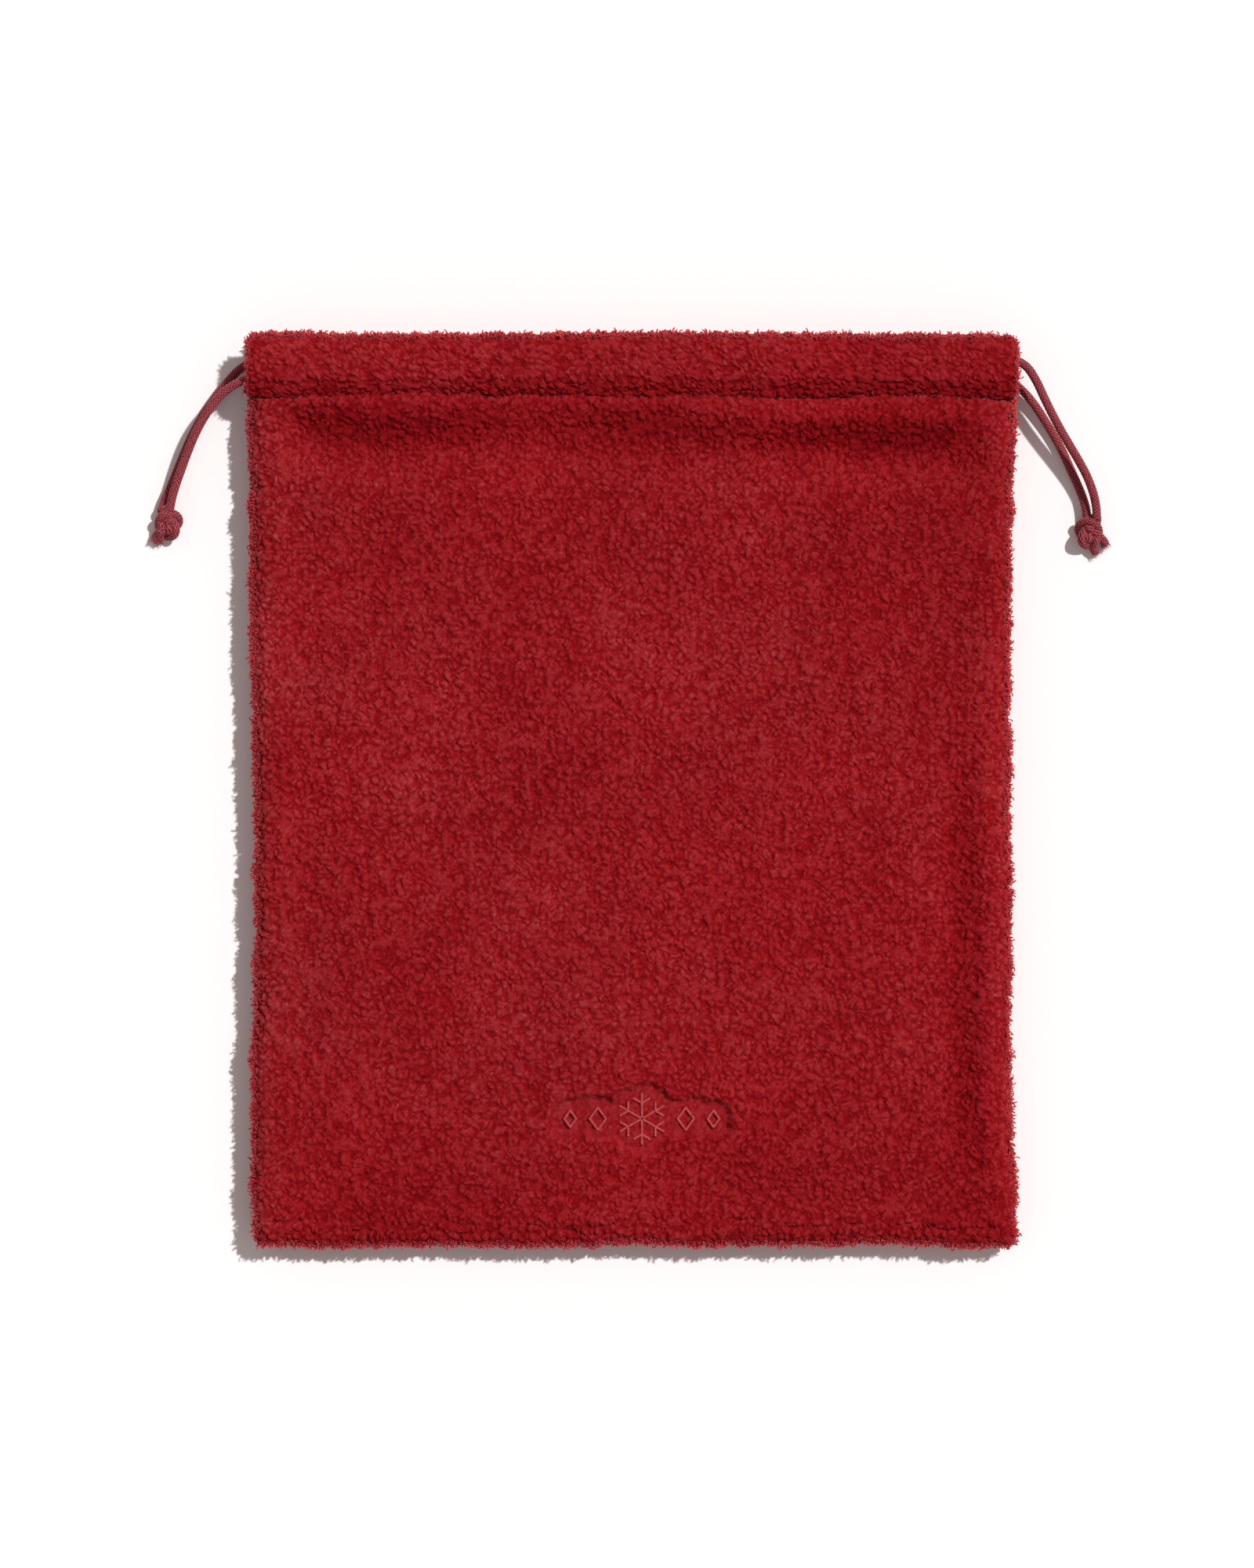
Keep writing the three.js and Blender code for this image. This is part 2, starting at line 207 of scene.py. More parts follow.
def curl_relief(points):
    """How far the pile stands up, and its tone with painted shade in the gaps and painted light on the crowns: 0 in the
    gaps between curls, 1 on their crowns.
    """
    bent = points + swirl(points, 4.6, 1.7, 11) + swirl(points, 1.7, 0.8, 21)
    near, second = two_nearest(bent, CURL_PITCH, 31)
    open_gap = eased(0.8 + 0.8 * soft_noise(points, 2.2, 41))
    whole = 1.0 - open_gap * (1.0 - eased((second - near) / 0.36))
    dome = np.sqrt(np.clip(1.0 - (near / 1.05) ** 2, 0.0, 1.0))
    height = 0.5 + 0.5 * soft_noise(points, 4.4, 43)
    small_near, small_second = two_nearest(bent, 1.2, 51)
    small = eased((small_second - small_near) / 0.55)
    grain = 0.5 + 0.5 * soft_noise(points, 0.7, 47)
    relief = 0.34 * dome + 0.14 * height + 0.34 * whole + 0.12 * small + 0.06 * grain
    # Painted shade and light: the tone is darker in the gaps between curls and lighter on their domes, with some random
    # grain.
    tone_with_painted_shade = 0.24 + 0.26 * whole + 0.14 * dome + 0.14 * small + 0.2 * grain
    return np.clip(relief, 0.0, 1.0), np.clip(tone_with_painted_shade, 0.0, 1.0)


# ---------------------------------------------------------------- meshes


def mesh_object(name, points, faces, normals=None, values=None):
    """A smooth mesh from points in millimetres, with one number for each point under each name in values."""
    mesh = bpy.data.meshes.new(name)
    mesh.from_pydata((np.asarray(points) * MM).tolist(), [], faces if isinstance(faces, list) else faces.tolist())
    mesh.shade_smooth()
    for title, numbers in (values or {}).items():
        mesh.attributes.new(title, "FLOAT", "POINT").data.foreach_set("value", np.asarray(numbers, np.float32).ravel())
    mesh.update()
    if normals is not None:
        mesh.normals_split_custom_set_from_vertices(normals.tolist())
    piece = bpy.data.objects.new(name, mesh)
    bpy.context.scene.collection.objects.link(piece)
    return piece


def grid_normals(grid, around=False):
    """Unit normals of a grid of points; around says that its columns close on themselves."""
    if around:
        along = np.roll(grid, -1, axis=1) - np.roll(grid, 1, axis=1)
    else:
        along = np.gradient(grid, axis=1)
    normal = np.cross(np.gradient(grid, axis=0), along)
    return normal / np.maximum(np.linalg.norm(normal, axis=-1, keepdims=True), 1e-9)


def grid_quads(rows, columns, start=0, around=False):
    last = columns if around else columns - 1
    row, column = np.meshgrid(np.arange(rows - 1), np.arange(last), indexing="ij")
    after = (column + 1) % columns
    quads = np.stack(
        [row * columns + column, row * columns + after, (row + 1) * columns + after, (row + 1) * columns + column], -1
    )
    return (quads + start).reshape(-1, 4)


def end_fans(rows, around):
    """Triangles that close a tube's two ends, to the two points that come after those of its rings."""
    head, last = rows * around, (rows - 1) * around
    fans = []
    for k in range(around):
        after = (k + 1) % around
        fans += [(head, after, k), (head + 1, last + k, last + after)]
    return fans


def with_end_points(grid):
    """A tube's points, and the middle of its first and of its last ring."""
    return np.vstack([grid.reshape(-1, 3), grid[0].mean(axis=0)[None], grid[-1].mean(axis=0)[None]])


def zip_borders(fine, coarse, step):
    """Triangles that join a fine border to a coarse one with a point for every step of the fine points."""
    faces = []
    for index in range(len(coarse) - 1):
        start = index * step
        for k in range(step):
            faces.append((fine[start + k], coarse[index], fine[start + k + 1]))
        faces.append((fine[start + step], coarse[index], coarse[index + 1]))
    return faces


LINING_STEP = 6


def lined_sheet(name, grid, lining, normals, values, turned):
    """A closed cloth: a fine grid outside, and a lining at every sixth point behind it, sewn together at the edges."""
    rows, columns = grid.shape[:2]
    back = lining[::LINING_STEP, ::LINING_STEP]
    back_rows, back_columns = back.shape[:2]
    assert (back_rows - 1) * LINING_STEP == rows - 1 and (back_columns - 1) * LINING_STEP == columns - 1
    fine = np.arange(rows * columns).reshape(rows, columns)
    coarse = rows * columns + np.arange(back_rows * back_columns).reshape(back_rows, back_columns)
    faces = [tuple(face) for face in grid_quads(rows, columns).tolist()]
    faces += [tuple(face[::-1]) for face in grid_quads(back_rows, back_columns, rows * columns).tolist()]
    faces += zip_borders(fine[0], coarse[0], LINING_STEP)
    faces += zip_borders(fine[::-1, 0], coarse[::-1, 0], LINING_STEP)
    faces += zip_borders(fine[-1, ::-1], coarse[-1, ::-1], LINING_STEP)
    faces += zip_borders(fine[:, -1], coarse[:, -1], LINING_STEP)
    if turned:
        faces = [face[::-1] for face in faces]
    points = np.vstack([grid.reshape(-1, 3), back.reshape(-1, 3)])
    all_normals = np.vstack([normals.reshape(-1, 3), -normals[::LINING_STEP, ::LINING_STEP].reshape(-1, 3)])
    lining_values = {"curl": 0.4, "pile": 0.0}
    padded_values = {
        title: np.concatenate([numbers.ravel(), np.full(back_rows * back_columns, lining_values[title])])
        for title, numbers in values.items()
    }
    return mesh_object(name, points, faces, all_normals, padded_values)


def carry(piece, body, replaced):
    """Let a piece move with one body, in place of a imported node."""
    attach(piece, body)
    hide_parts(replaced)


def bend_with_side(piece, replaced):
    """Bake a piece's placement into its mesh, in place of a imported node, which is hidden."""
    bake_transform(piece)
    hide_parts(replaced)


# ---------------------------------------------------------------- drawcords

CORD_DIAMETER = 3.6
CORD_SIDES = 26
CORD_PITCH = 8.0
TURN_RADIUS = 7.2
TURN_INSET = 1.2
SLIT_MARGIN = 0.3
RUN_Y = (STITCH_Y + 1.6 + TOP - 3.4) / 2
RUN_DEPTH = 5.4
FRONT_RUN_Z = CREST - RUN_DEPTH
SIDES = {"left": -1, "right": 1}

# Each free strand from its slit to its knot: outwards from the sack's edge, along Y from the middle of the casing,
# and up from the table, in millimetres.
FREE_STRANDS = {
    "right": {
        "front": [
            (3.0, 3.4, 17.3), (7.2, 0.9, 16.8), (11.0, -4.4, 15.8), (14.4, -11.2, 14.6), (17.9, -18.0, 13.4),
            (21.4, -24.2, 12.2), (25.0, -30.1, 11.1), (28.6, -36.0, 10.1), (32.0, -42.2, 9.2), (34.7, -49.2, 8.3),
            (35.9, -55.0, 7.6), (36.1, -59.2, 7.2),
        ],
        "back": [
            (3.4, -5.0, 5.3), (7.4, -8.4, 4.7), (11.6, -13.3, 3.9), (15.6, -19.2, 3.1), (19.2, -25.0, 2.6),
            (22.7, -31.4, 2.4), (25.9, -38.4, 2.4), (28.6, -44.4, 2.6), (30.8, -50.0, 3.1), (32.2, -55.0, 3.7),
            (32.6, -59.2, 4.0),
        ],
        "knot": (34.3, -64.4, 5.4),
    },
    "left": {
        "front": [
            (3.2, -4.2, 17.3), (7.6, -5.9, 16.6), (12.4, -9.2, 15.5), (17.0, -14.0, 14.3), (21.0, -19.6, 13.1),
            (24.4, -25.8, 11.9), (27.2, -32.2, 10.8), (29.7, -38.6, 9.8), (32.0, -44.8, 8.9), (33.9, -50.8, 8.0),
            (34.9, -55.6, 7.3),
        ],
        "back": [
            (3.0, 3.5, 5.3), (7.4, 0.8, 4.7), (12.4, -4.4, 3.9), (17.8, -11.2, 3.1), (22.8, -18.6, 2.6),
            (26.8, -26.0, 2.4), (29.9, -33.2, 2.4), (32.6, -39.9, 2.6), (35.0, -46.0, 3.1), (37.2, -51.4, 3.7),
            (38.4, -55.6, 4.0),
        ],
        "knot": (36.7, -61.0, 5.4),
    },
}


def placed(side, point):
    return np.array([side * (HALF_WIDTH + point[0]), RUN_Y + point[1], point[2]])


def smooth_route(points, pitch):
    """A centripetal curve through the points, sampled about every pitch."""
    points = np.asarray(points, float)
    padded = np.vstack([2 * points[0] - points[1], points, 2 * points[-1] - points[-2]])
    route = []
    for a, b, c, d in zip(padded[:-3], padded[1:-2], padded[2:-1], padded[3:]):
        gaps = [max(math.sqrt(np.linalg.norm(q - p)), 1e-4) for p, q in ((a, b), (b, c), (c, d))]
        t0, t1 = 0.0, gaps[0]
        t2 = t1 + gaps[1]
        t3 = t2 + gaps[2]
        count = max(2, int(round(np.linalg.norm(c - b) / pitch)))
        t = np.linspace(t1, t2, count, endpoint=False)[:, None]
        a1 = (t1 - t) / (t1 - t0) * a + (t - t0) / (t1 - t0) * b
        a2 = (t2 - t) / (t2 - t1) * b + (t - t1) / (t2 - t1) * c
        a3 = (t3 - t) / (t3 - t2) * c + (t - t2) / (t3 - t2) * d
        b1 = (t2 - t) / (t2 - t0) * a1 + (t - t0) / (t2 - t0) * a2
        b2 = (t3 - t) / (t3 - t1) * a2 + (t - t1) / (t3 - t1) * a3
        route.append((t2 - t) / (t2 - t1) * b1 + (t - t1) / (t2 - t1) * b2)
    return np.vstack([*route, points[-1:]])


def drawcord_points(name):
    side = SIDES[name]
    strands = FREE_STRANDS[name]
    lean = side * CORD_PITCH / 2
    front = np.array([0, RUN_Y + lean, FRONT_RUN_Z])
    back = np.array([0, RUN_Y - lean, RUN_DEPTH])
    middle, half = (front + back) / 2, (front - back) / 2
    turn_x = -side * (HALF_WIDTH - TURN_INSET - TURN_RADIUS - CORD_DIAMETER / 2)
    across = np.array([1.0, 0, 0])
    stops = [0.9, 0.7, 0.4, 0.1, -0.2, -0.5, -0.8, -0.97]
    slit = [SLIT_MARGIN, -CORD_DIAMETER]
    points = [placed(side, point) for point in reversed(strands["front"])]
    points += [front + across * side * (HALF_WIDTH + out) for out in slit]
    points += [front - across * turn_x * share for share in stops]
    for step in range(1, 6):
        angle = step * math.pi / 6
        points.append(middle + half * math.cos(angle) + across * (turn_x - side * TURN_RADIUS * math.sin(angle)))
    points += [back - across * turn_x * share for share in reversed(stops)]
    points += [back + across * side * (HALF_WIDTH + out) for out in reversed(slit)]
    points += [placed(side, point) for point in strands["back"]]
    return points


def swept_frames(route):
    """Two directions square to the route at each of its points, turned as little as they can be."""
    tangent = np.gradient(route, axis=0)
    tangent /= np.linalg.norm(tangent, axis=1, keepdims=True)
    side = np.cross(tangent[0], [0.0, 0.0, 1.0])
    if np.linalg.norm(side) < 0.1:
        side = np.cross(tangent[0], [1.0, 0.0, 0.0])
    sides = []
    for direction in tangent:
        side = side - direction * (side @ direction)
        side = side / np.linalg.norm(side)
        sides.append(side)
    sides = np.array(sides)
    return sides, np.cross(tangent, sides)


BRAID_STRANDS = 8
BRAID_LAY = 12.5
BRAID_DEPTH = 0.34
BRAID_STEP = 0.27


def braid_height(length, angle):
    """The over and under of a round braid's two sets of strands, from 0 to 1."""
    turn = angle * BRAID_STRANDS / (2 * math.pi)
    climb = length * BRAID_STRANDS / BRAID_LAY
    right, left = turn + climb, turn - climb
    over = (np.floor(right) + np.floor(left)) % 2 < 1
    shown = np.where(over, right, left) % 1.0
    crossed = np.where(over, left, right) % 1.0
    return np.sin(math.pi * shown) ** 0.6 * (0.7 + 0.3 * np.sin(math.pi * crossed))


def braided_tube(name, route, start_length=0.0):
    """A closed braided tube along a route, with its length and height kept for the finish."""
    across, up = swept_frames(route)
    steps = np.linalg.norm(np.diff(route, axis=0), axis=1)
    length = start_length + np.concatenate([[0.0], np.cumsum(steps)])
    angle = np.arange(CORD_SIDES) * 2 * math.pi / CORD_SIDES
    height = braid_height(length[:, None], angle[None, :])
    radius = CORD_DIAMETER / 2 - BRAID_DEPTH * (1.0 - height)
    ring = across[:, None, :] * np.cos(angle)[None, :, None] + up[:, None, :] * np.sin(angle)[None, :, None]
    grid = route[:, None, :] + ring * radius[..., None]
    faces = [tuple(face[::-1]) for face in grid_quads(len(route), CORD_SIDES, around=True).tolist()]
    faces += end_fans(len(route), CORD_SIDES)
    points = np.vstack([grid.reshape(-1, 3), route[:1], route[-1:]])
    # The braid's height also sets its colour: painted shade in the grooves between strands and painted light on their
    # tops.
    values = {"braid": np.concatenate([height.ravel(), [0.5, 0.5]])}
    return mesh_object(name, points, faces, values=values)


def cord_route(name):
    """The whole drawcord, sampled finely where it is free and coarsely where the casings hide it."""
    fine = smooth_route(drawcord_points(name), BRAID_STEP)
    hidden = np.abs(fine[:, 0]) < HALF_WIDTH - 14
    keep = ~hidden | (np.arange(len(fine)) % 8 == 0)
    return fine[keep]


KNOT_LEAN = {"left": 0.22, "right": -0.2}


def knot_frame(name):
    """A knot's middle, and the directions along its cords, across them on the table, and up."""
    side = SIDES[name]
    middle = placed(side, FREE_STRANDS[name]["knot"])
    along = np.array([KNOT_LEAN[name], 1.0, 0.12])
    along /= np.linalg.norm(along)
    up = np.array([0.0, 0.0, 1.0]) - along * along[2]
    up /= np.linalg.norm(up)
    return middle, along, np.cross(along, up), up


KNOT_ALONG = 1.26
KNOT_ACROSS = 1.62
KNOT_RISE = 2.4
KNOT_LOW = 0.9
KNOT_OPEN = 0.78
STRAND_APART = 1.3
TAIL_TURN = {"left": math.radians(238), "right": math.radians(-58)}


def knot_strand(name, which, start):
    """One of the two strands of the overhand knot, from the end of its drawcord, round the knot, to its cut end."""
    middle, along, across, up = knot_frame(name)
    outward = across * SIDES[name] * np.sign(across[0])
    middle = middle - np.array([0.0, 0.0, KNOT_LOW])
    apart = STRAND_APART * (1 if which == 0 else -1)
    world = [start, (start + middle + along * 4.6 + outward * 3.4) / 2]
    for t in np.linspace(math.pi - KNOT_OPEN, KNOT_OPEN - math.pi, 30):
        x, y = math.sin(t) + 2 * math.sin(2 * t), math.cos(t) - 2 * math.cos(2 * t)
        dx, dy = math.cos(t) + 4 * math.cos(2 * t), -math.sin(t) + 4 * math.sin(2 * t)
        far = math.hypot(dx, dy)
        x, y = KNOT_ALONG * x - apart * dy / far, KNOT_ACROSS * y + apart * dx / far
        world.append(middle - along * x - outward * y - up * KNOT_RISE * math.sin(3 * t))
    out = np.array([math.cos(TAIL_TURN[name]), math.sin(TAIL_TURN[name]), 0.0])
    square = np.array([-out[1], out[0], 0.0])
    turned = 1.0 if (world[-1] - middle) @ square > 0 else -1.0
    order = 1 if which == 0 else -1
    for reach, low in ((5.4, -1.0), (6.6 + 0.7 * which, -2.0)):
        world.append(middle + out * reach + square * (turned * 0.8 + order * 1.65) + np.array([0.0, 0.0, low]))
    route = smooth_route(world, BRAID_STEP)
    route[:, 2] = np.maximum(route[:, 2], CORD_DIAMETER / 2 + 0.1)
    return route


def build_cords(finish, fringe):
    for name, side in SIDES.items():
        body = f"{name}_cord"
        route = cord_route(name)
        cord = braided_tube(f"{name}_drawcord_braid", route)
        cord.data.materials.append(finish)
        carry(cord, body, f"{name}_drawcord")
        strands = []
        for which in (0, 1):
            strand_route = knot_strand(name, which, route[3] if which == 0 else route[-4])
            strand = braided_tube(f"{name}_knot_strand_{which + 1}", strand_route, start_length=2.0 * which)
            strand.data.materials.append(finish)
            fray = frayed_end(f"{name}_frayed_end_{which + 1}", strand_route, 7 * which + (side > 0), fringe)
            strands += [(strand, "knot"), (fray, f"cut_end_{which + 1}")]
        for piece, node in strands:
            carry(piece, body, f"{name}_{node}")
        path = (smooth_route(drawcord_points(name), 1.0) * MM).tolist()


def frayed_end(name, route, seed, finish):
    """Short loose fibres that splay out of a cut end of the cord."""
    rng = np.random.default_rng(100 + seed)
    across, up = swept_frames(route)
    tip, direction = route[-1], route[-1] - route[-6]
    direction = direction / np.linalg.norm(direction)
    points, faces, shade = [], [], []
    for _ in range(90):
        angle = rng.uniform(0, 2 * math.pi)
        radial = math.sqrt(rng.uniform(0, 1)) * (CORD_DIAMETER / 2 - 0.25)
        outward = across[-1] * math.cos(angle) + up[-1] * math.sin(angle)
        length = rng.uniform(0.7, 1.7)
        splay = rng.uniform(0.1, 0.75) * (radial / 1.5)
        wobble = rng.normal(0, 0.16, 3)
        start = len(points)
        for k, share in enumerate((0.0, 0.34, 0.67, 1.0)):
            centre = tip - direction * 0.8 + outward * radial + direction * (length + 0.8) * share
            centre = centre + outward * splay * share**1.6 * length + wobble * share**2 * 2
            centre[2] = max(centre[2], 0.2)
            thick = 0.15 * (1.0 - 0.55 * share)
            for j in range(3):
                turn = j * 2 * math.pi / 3
                points.append(centre + thick * (across[-1] * math.cos(turn) + up[-1] * math.sin(turn)))
                # Painted shade and light: each fibre is darker at its root in the cut and lighter towards its tip.
                shade.append(0.55 + 0.45 * share)
            if k:
                low, high = start + 3 * (k - 1), start + 3 * k
                for j in range(3):
                    after = (j + 1) % 3
                    faces.append((low + j, high + j, high + after, low + after))
        faces.append((start, start + 1, start + 2))
        faces.append((start + 11, start + 10, start + 9))
    piece = mesh_object(name, np.array(points), faces, values={"braid": np.array(shade)})
    piece.data.materials.append(finish)
    return piece


# ---------------------------------------------------------------- finishes


def link(tree, start, end):
    tree.links.new(start, end)


def new_node(tree, kind, **settings):
    node = tree.nodes.new(kind)
    for key, value in settings.items():
        setattr(node, key, value)
    return node


def set_inputs(node, values):
    for title, value in values.items():
        node.inputs[title].default_value = value


def fibre_relief_group():
    """Fine fibres and small loops on a pile or a thread, as a height from 0 to 1."""
    group = bpy.data.node_groups.new("fibre_relief", "ShaderNodeTree")
    face = group.interface
    for title, default in (("Fibre Scale", 900.0), ("Loop Scale", 420.0), ("Loop Share", 0.5)):
        socket = face.new_socket(title, in_out="INPUT", socket_type="NodeSocketFloat")
        socket.default_value = default
    face.new_socket("Height", in_out="OUTPUT", socket_type="NodeSocketFloat")
    start = new_node(group, "NodeGroupInput")
    end = new_node(group, "NodeGroupOutput")
    place = new_node(group, "ShaderNodeTexCoord")
    fibre = new_node(group, "ShaderNodeTexNoise")
    set_inputs(fibre, {"Detail": 3.0, "Roughness": 0.65, "Distortion": 1.1})
    loops = new_node(group, "ShaderNodeTexVoronoi", feature="SMOOTH_F1")
    loops.inputs["Smoothness"].default_value = 0.6
    blend = new_node(group, "ShaderNodeMix", data_type="FLOAT")
    link(group, place.outputs["Object"], fibre.inputs["Vector"])
    link(group, place.outputs["Object"], loops.inputs["Vector"])
    link(group, start.outputs["Fibre Scale"], fibre.inputs["Scale"])
    link(group, start.outputs["Loop Scale"], loops.inputs["Scale"])
    link(group, start.outputs["Loop Share"], blend.inputs[0])
    link(group, fibre.outputs["Fac"], blend.inputs[2])
    link(group, loops.outputs["Distance"], blend.inputs[3])
    link(group, blend.outputs[0], end.inputs["Height"])
    return group


FIBRE_RELIEF = fibre_relief_group()
FIBRE_TONE = 0.35
GLOW_REACH = 1.3
BUMP_REACH = 0.0006


def colour_ramp(tree, source, stops):
    ramp = new_node(tree, "ShaderNodeValToRGB")
    elements = ramp.color_ramp.elements
    while len(elements) < len(stops):
        elements.new(0.5)
    for element, (place, colour) in zip(elements, stops):
        element.position = place
        element.color = (*colour, 1.0)
    link(tree, source, ramp.inputs["Fac"])
    return ramp


def attribute_value(tree, title):
    return new_node(tree, "ShaderNodeAttribute", attribute_name=title).outputs["Fac"]


def cloth_finish(name, attribute, stops, fibre, loops, bump, sheen, tint, roughness=0.95, glow=0.0):
    """Pile or yarn whose colour follows a value that carries painted shade and painted light, with broad uneven dyeing
    and fine fibres.
    """
    finish = bpy.data.materials.new(name)
    finish.use_nodes = True
    tree = finish.node_tree
    shader = tree.nodes["Principled BSDF"]
    set_inputs(shader, {"Roughness": roughness, "Specular IOR Level": 0.07})
    set_inputs(shader, {"Sheen Weight": sheen, "Sheen Roughness": 0.42, "Sheen Tint": (*tint, 1.0)})
    set_inputs(
        shader,
        {"Subsurface Weight": glow, "Subsurface Radius": (1.0, 0.3, 0.3), "Subsurface Scale": GLOW_REACH * MM},
    )
    relief = new_node(tree, "ShaderNodeGroup", node_tree=FIBRE_RELIEF)
    set_inputs(relief, {"Fibre Scale": fibre, "Loop Scale": loops})
    height = attribute_value(tree, attribute)
    mixed = new_node(tree, "ShaderNodeMath", operation="MULTIPLY_ADD")
    mixed.inputs[1].default_value = FIBRE_TONE
    link(tree, relief.outputs["Height"], mixed.inputs[0])
    lower = new_node(tree, "ShaderNodeMath", operation="SUBTRACT")
    lower.inputs[1].default_value = FIBRE_TONE / 2
    link(tree, height, lower.inputs[0])
    link(tree, lower.outputs[0], mixed.inputs[2])
    ramp = colour_ramp(tree, mixed.outputs[0], stops)
    broad = new_node(tree, "ShaderNodeTexNoise")
    set_inputs(broad, {"Scale": 22.0, "Detail": 3.0})
    place = new_node(tree, "ShaderNodeTexCoord")
    link(tree, place.outputs["Object"], broad.inputs["Vector"])
    uneven = new_node(tree, "ShaderNodeMapRange")
    set_inputs(uneven, {"From Min": 0.3, "From Max": 0.7, "To Min": 0.92, "To Max": 1.07})
    link(tree, broad.outputs["Fac"], uneven.inputs["Value"])
    shaded = new_node(tree, "ShaderNodeMix", data_type="RGBA", blend_type="MULTIPLY")
    shaded.inputs[0].default_value = 1.0
    link(tree, ramp.outputs["Color"], shaded.inputs[6])
    link(tree, uneven.outputs["Result"], shaded.inputs[7])
    link(tree, shaded.outputs[2], shader.inputs["Base Color"])
    raised = new_node(tree, "ShaderNodeBump")
    set_inputs(raised, {"Strength": bump, "Distance": BUMP_REACH})
    link(tree, relief.outputs["Height"], raised.inputs["Height"])
    link(tree, raised.outputs["Normal"], shader.inputs["Normal"])
    return finish


# Pile colours along its value: the dark low stops give painted shade in the gaps between curls, the pinker top stops
# painted light on the crowns.
PILE_STOPS = [
    (0.0, (0.05, 0.0003, 0.001)),
    (0.36, (0.175, 0.001, 0.0032)),
    (0.6, (0.26, 0.0048, 0.0085)),
    (0.78, (0.308, 0.0155, 0.0205)),
    (0.9, (0.345, 0.033, 0.039)),
    (1.0, (0.40, 0.056, 0.064)),
]
# Tuft colours: dark for the painted shade at the roots, light and pink for the painted light at the tips.
TUFT_STOPS = [
    (0.0, (0.16, 0.003, 0.006)),
    (0.45, (0.33, 0.011, 0.016)),
    (1.0, (0.5, 0.04, 0.048)),
]
pile = cloth_finish("curly_pile", "curl", PILE_STOPS, 1700.0, 700.0, 0.8, 0.04, (0.95, 0.3, 0.3), glow=0.4)
tufts_finish = cloth_finish("pile_tufts", "curl", TUFT_STOPS, 1800.0, 700.0, 0.2, 0.2, (0.95, 0.35, 0.35), glow=1.0)
# Cord colours along the braid value: near black for the painted shade between strands, light pink for the painted light
# on their tops; the frayed ends' fibres the same from root to tip.
cord_finish = cloth_finish(
    "braided_cord", "braid", [(0.0, (0.016, 0.001, 0.002)), (0.5, (0.14, 0.012, 0.02)), (1.0, (0.50, 0.11, 0.13))],
    2600.0, 1500.0, 0.4, 0.3, (0.9, 0.5, 0.5), 0.6,
)
fray_finish = cloth_finish(
    "frayed_cord", "braid", [(0.0, (0.12, 0.016, 0.022)), (0.5, (0.26, 0.045, 0.055)), (1.0, (0.42, 0.11, 0.125))],
    2600.0, 1500.0, 0.2, 0.4, (0.9, 0.5, 0.5), 0.75,
)
thread_finish = cloth_finish(
    "sewing_thread", "curl", [(0.0, (0.03, 0.001, 0.0015)), (0.5, (0.11, 0.003, 0.005)), (1.0, (0.2, 0.008, 0.012))],
    3000.0, 1600.0, 0.3, 0.2, (0.9, 0.4, 0.4), 0.6,
)
mark_finish = cloth_finish(
    "embroidery_thread", "curl", [(0.0, (0.10, 0.004, 0.006)), (0.5, (0.36, 0.026, 0.03)), (1.0, (0.56, 0.095, 0.1))],
    3200.0, 1600.0, 0.25, 0.3, (0.95, 0.5, 0.5), 0.42,
)

build_cords(cord_finish, fray_finish)

# ---------------------------------------------------------------- the two panels

PILE_INSET = 1.05
PRESS_DEPTH = 2.4
PRESS_SOFTNESS = 3.0
BAND_RADIUS = 6.6
DISC_RADIUS = 12.2
LAST_LOZENGE_LOW, LAST_LOZENGE_HIGH = box_mm("embroidery_lozenge_right_2")
BAND_REACH = (LAST_LOZENGE_LOW[0] + LAST_LOZENGE_HIGH[0]) / 2 - MARK_X
RIM_TUFTS = 0.82
RIM_FADE = 0.6
EDGE_ROLL = 4.7
LAST_TURN = math.radians(142)
STITCH_ROLL = 3.4
CLOTH = 5.2
PLATEAU = 1.3
SEAM_Z = (MOUTH_HIGH + CLOTH) / 2
EDGE_STATIONS = [-180.0, -158.0, -110.0, -50.0, 30.0, 80.0, 120.0, 165.0, 180.0]
RIGHT_EDGE = [151.6, 151.2, 149.0, 149.9, 148.7, 148.8, 149.9, 151.4, 151.2]
LEFT_EDGE = [148.4, 149.6, 149.4, 148.2, 148.8, 149.9, 150.3, 151.3, 150.4]


def edge_reach(x, y):
    """How far the sack's edge stands from its middle line at that height, on the side that x is on."""
    right = np.interp(y, EDGE_STATIONS, RIGHT_EDGE)
    left = np.interp(y, EDGE_STATIONS, LEFT_EDGE)
    return np.where(np.asarray(x) > 0, right, left)


def roll(distance, start, radius, last):
    """Follow a cloth that lies flat up to start and then rolls over: the place along, and how far it has turned."""
    angle = np.clip((distance - start) / radius, 0.0, last)
    along = np.where(distance <= start, distance, start + radius * np.sin(angle))
    fall = (1.0 - np.cos(angle)) / (1.0 - math.cos(last))
    return along, fall


def pressed(x, y):
    """How far the pile is pressed down by the embroidery, from 0 to 1."""
    beyond = np.clip(np.abs(x - MARK_X) - BAND_REACH, 0.0, None)
    band = np.hypot(beyond, y - MARK_Y) - BAND_RADIUS
    disc = np.hypot(x - MARK_X, y - MARK_Y) - DISC_RADIUS
    flat = on_plane(x, y)
    ragged = 1.3 * soft_noise(flat, 6.0, 72) + 0.7 * soft_noise(flat, 2.6, 73)
    return 1.0 - eased((np.minimum(band, disc) + ragged) / PRESS_SOFTNESS)


